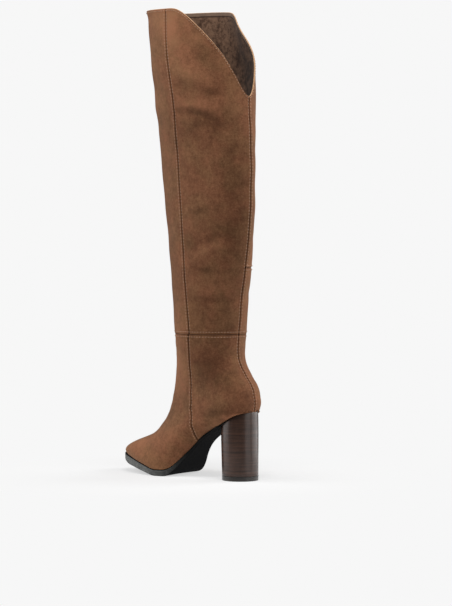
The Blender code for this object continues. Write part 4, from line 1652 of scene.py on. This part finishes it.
# %% Rows of stitches
STITCH_AWAY = 0.0027
HEM_STITCH_AWAY = 0.0017
FOOT_STITCH_AWAY = 0.0030
COLLAR_AWAY = 0.0024
LOW_RINGS = 10
CLEAR_RINGS = 3
BOTH_SIDES = (-STITCH_AWAY, STITCH_AWAY)
LEG = (SHAFT_SKIN, grid_normals(SHAFT_SKIN))
FOOT = (FOOT_SKIN, grid_normals(FOOT_SKIN))
LEG_ROUND = [*range(SHAFT_SKIN.shape[1]), 0]
FOOT_AROUND = [*range(FOOT_SKIN.shape[1]), 0]
LEG_RISES = range(LOW_RINGS, len(SHAFT_SKIN) - CLEAR_RINGS)
FOOT_RISES = range(CLEAR_RINGS, FOOT_RINGS - CLEAR_RINGS)
ACROSS = range(SHAFT_SEAMS[2] + 1, SHAFT_SKIN.shape[1])

leg_rows = [beside_seam(*LEG, column, away, LEG_RISES)
            for column in SHAFT_SEAMS for away in BOTH_SIDES]
leg_rows += [level_line(*LEG, SHAFT_RISE, CROSS_SEAM_RISE + away, ACROSS) for away in BOTH_SIDES]
foot_rows = [beside_seam(*FOOT, column, away, FOOT_RISES)
             for column in FOOT_SEAMS for away in BOTH_SIDES]
hem_row = level_line(*LEG, SHAFT_TRAVEL, SHAFT_WALL + HEM_STITCH_AWAY, LEG_ROUND)
ankle_row = level_line(*FOOT, FOOT_TRAVEL - FOOT_TRAVEL[-1:], -FOOT_STITCH_AWAY, FOOT_AROUND)
collar_row = level_line(*LEG, SHAFT_TRAVEL - SHAFT_TRAVEL[-1:], -COLLAR_AWAY, LEG_ROUND)
stitches("leg_stitches", leg_rows, "shaft")
stitches("foot_stitches", foot_rows, "upper")
stitches("hem_stitches", [hem_row], "shaft")
stitches("ankle_stitches", [ankle_row], "upper")
stitches("collar_stitches", [collar_row], "shaft")

# %% [markdown]
# ## Studio
#
# The boot stands on a small white light table in a dim room, between large soft lamps, so
# its sides are light and the middle is darker, as on the picture of a shoe in a shop. The
# picture's own background is plain and pale, so the table glows and fades into it.

# %% Light table
TABLE_RADIUS = 0.36
TABLE_SIDES = 96
TABLE_DROP = 0.0002
PALE = 0.93
PAPER_ALBEDO = 0.36
PAPER_LIT = 1.05
PAPER_NEAR = 0.10
PAPER_FAR = 0.30


def grey(level):
    """A grey of this much linear light."""
    return (level, level, level, 1.0)


def paper_finish():
    """Paper that is lit near the boot, and only glows further out."""
    mixing = Recipe("light_table_paper", Specular_IOR_Level=0.0, Emission_Strength=1.0)
    away = mixing.node("ShaderNodeVectorMath", {"operation": "LENGTH"}, {0: mixing.place()},
                       output=1)
    fade = mixing.ramp(away, PAPER_NEAR, PAPER_FAR)
    glow = mixing.mix(fade, grey(PALE - PAPER_ALBEDO * PAPER_LIT), grey(PALE))
    return mixing.finish(Base_Color=mixing.mix(fade, grey(PAPER_ALBEDO), grey(0.0)),
                         Emission_Color=glow)


def make_table():
    """A pale disc a hair below the soles, a fan of faces round its middle."""
    turns = np.linspace(0, 2 * np.pi, TABLE_SIDES, endpoint=False)
    rim = TABLE_RADIUS * np.stack([np.cos(turns), np.sin(turns), 0 * turns], axis=1)
    faces = [(0, 1 + i, 1 + (i + 1) % TABLE_SIDES) for i in range(TABLE_SIDES)]
    made = add_mesh("light_table", np.concatenate([np.zeros((1, 3)), rim]), faces, paper_finish())
    made.location.z = -TABLE_DROP
    return made


table = make_table()
print("light table of", len(table.data.polygons), "faces")

# %% [markdown]
# The world lights the boot only a little, while the camera sees it as a pale wall.

# %% World
ROOM_LEVEL = 0.12


def make_room():
    """A world with one brightness for the camera and another for everything else."""
    room = bpy.data.worlds.new("studio_room")
    room.use_nodes = True
    tree = room.node_tree
    wall = tree.nodes["Background"]
    wall.inputs["Color"].default_value = grey(1.0)
    seen = tree.nodes.new("ShaderNodeLightPath").outputs["Is Camera Ray"]
    level = tree.nodes.new("ShaderNodeMapRange")
    level.inputs["To Min"].default_value = ROOM_LEVEL
    level.inputs["To Max"].default_value = PALE
    tree.links.new(seen, level.inputs["Value"])
    tree.links.new(level.outputs["Result"], wall.inputs["Strength"])
    bpy.context.scene.world = room


make_room()
bpy.context.scene.view_settings.view_transform = "Standard"
print("the wall looks", PALE, "bright and lights as", ROOM_LEVEL)

# %% [markdown]
# Each lamp is a flat panel that looks at the boot. Its place is given by its turn round the
# boot from the camera, to the right, its height and its distance, all level. Two stand at
# the sides, one hangs above and one in front to the left. The three glints are seen only in
# what shines, and give the polished heel its light and dark bands without lighting the suede.

# %% Lamps
LAMP_COLUMNS = ("name", "turn", "height", "distance", "width", "tall", "power", "gloss_only")
LAMP_TABLE = (
    ("left_lamp", -98.0, 0.70, 1.10, 0.9, 0.9, 8.6, False),
    ("right_lamp", 100.0, 0.70, 1.10, 0.9, 0.9, 10.5, False),
    ("top_lamp", 10.0, 1.30, 0.60, 0.6, 0.6, 10.2, False),
    ("front_lamp", -60.0, 1.25, 0.80, 0.6, 0.6, 2.4, False),
    ("left_glint", -105.0, 0.30, 1.20, 1.5, 0.9, 6.5, True),
    ("right_glint", 105.0, 0.30, 1.20, 1.3, 0.9, 8.0, True),
    ("near_glint", 50.0, 0.30, 1.20, 0.7, 0.9, 3.6, True),
)
LAMP_AIM = Vector((0.0, 0.0, 0.32))


def make_lamp(row):
    """One flat lamp from its row of the table."""
    light = bpy.data.lights.new(row["name"], "AREA")
    light.shape = "RECTANGLE"
    light.size, light.size_y = row["width"], row["tall"]
    light.energy = row["power"]
    lamp = bpy.data.objects.new(row["name"], light)
    turn = math.atan2(CAMERA_PLACE[1], CAMERA_PLACE[0]) + math.radians(row["turn"])
    level = row["distance"]
    place = Vector((level * math.cos(turn), level * math.sin(turn), row["height"]))
    place_object(lamp, place, LAMP_AIM - place)
    lamp.visible_camera = False
    lamp.visible_diffuse = not row["gloss_only"]
    print(row["name"], "at", [round(v, 2) for v in place], "m")


for row in named_rows(LAMP_COLUMNS, LAMP_TABLE):
    make_lamp(row)

# %% [markdown]
# ## Sizes of the pieces
#
# Each piece printed its box in millimetres as it was made. The dressed boot has to fill the
# same box as the solid model.
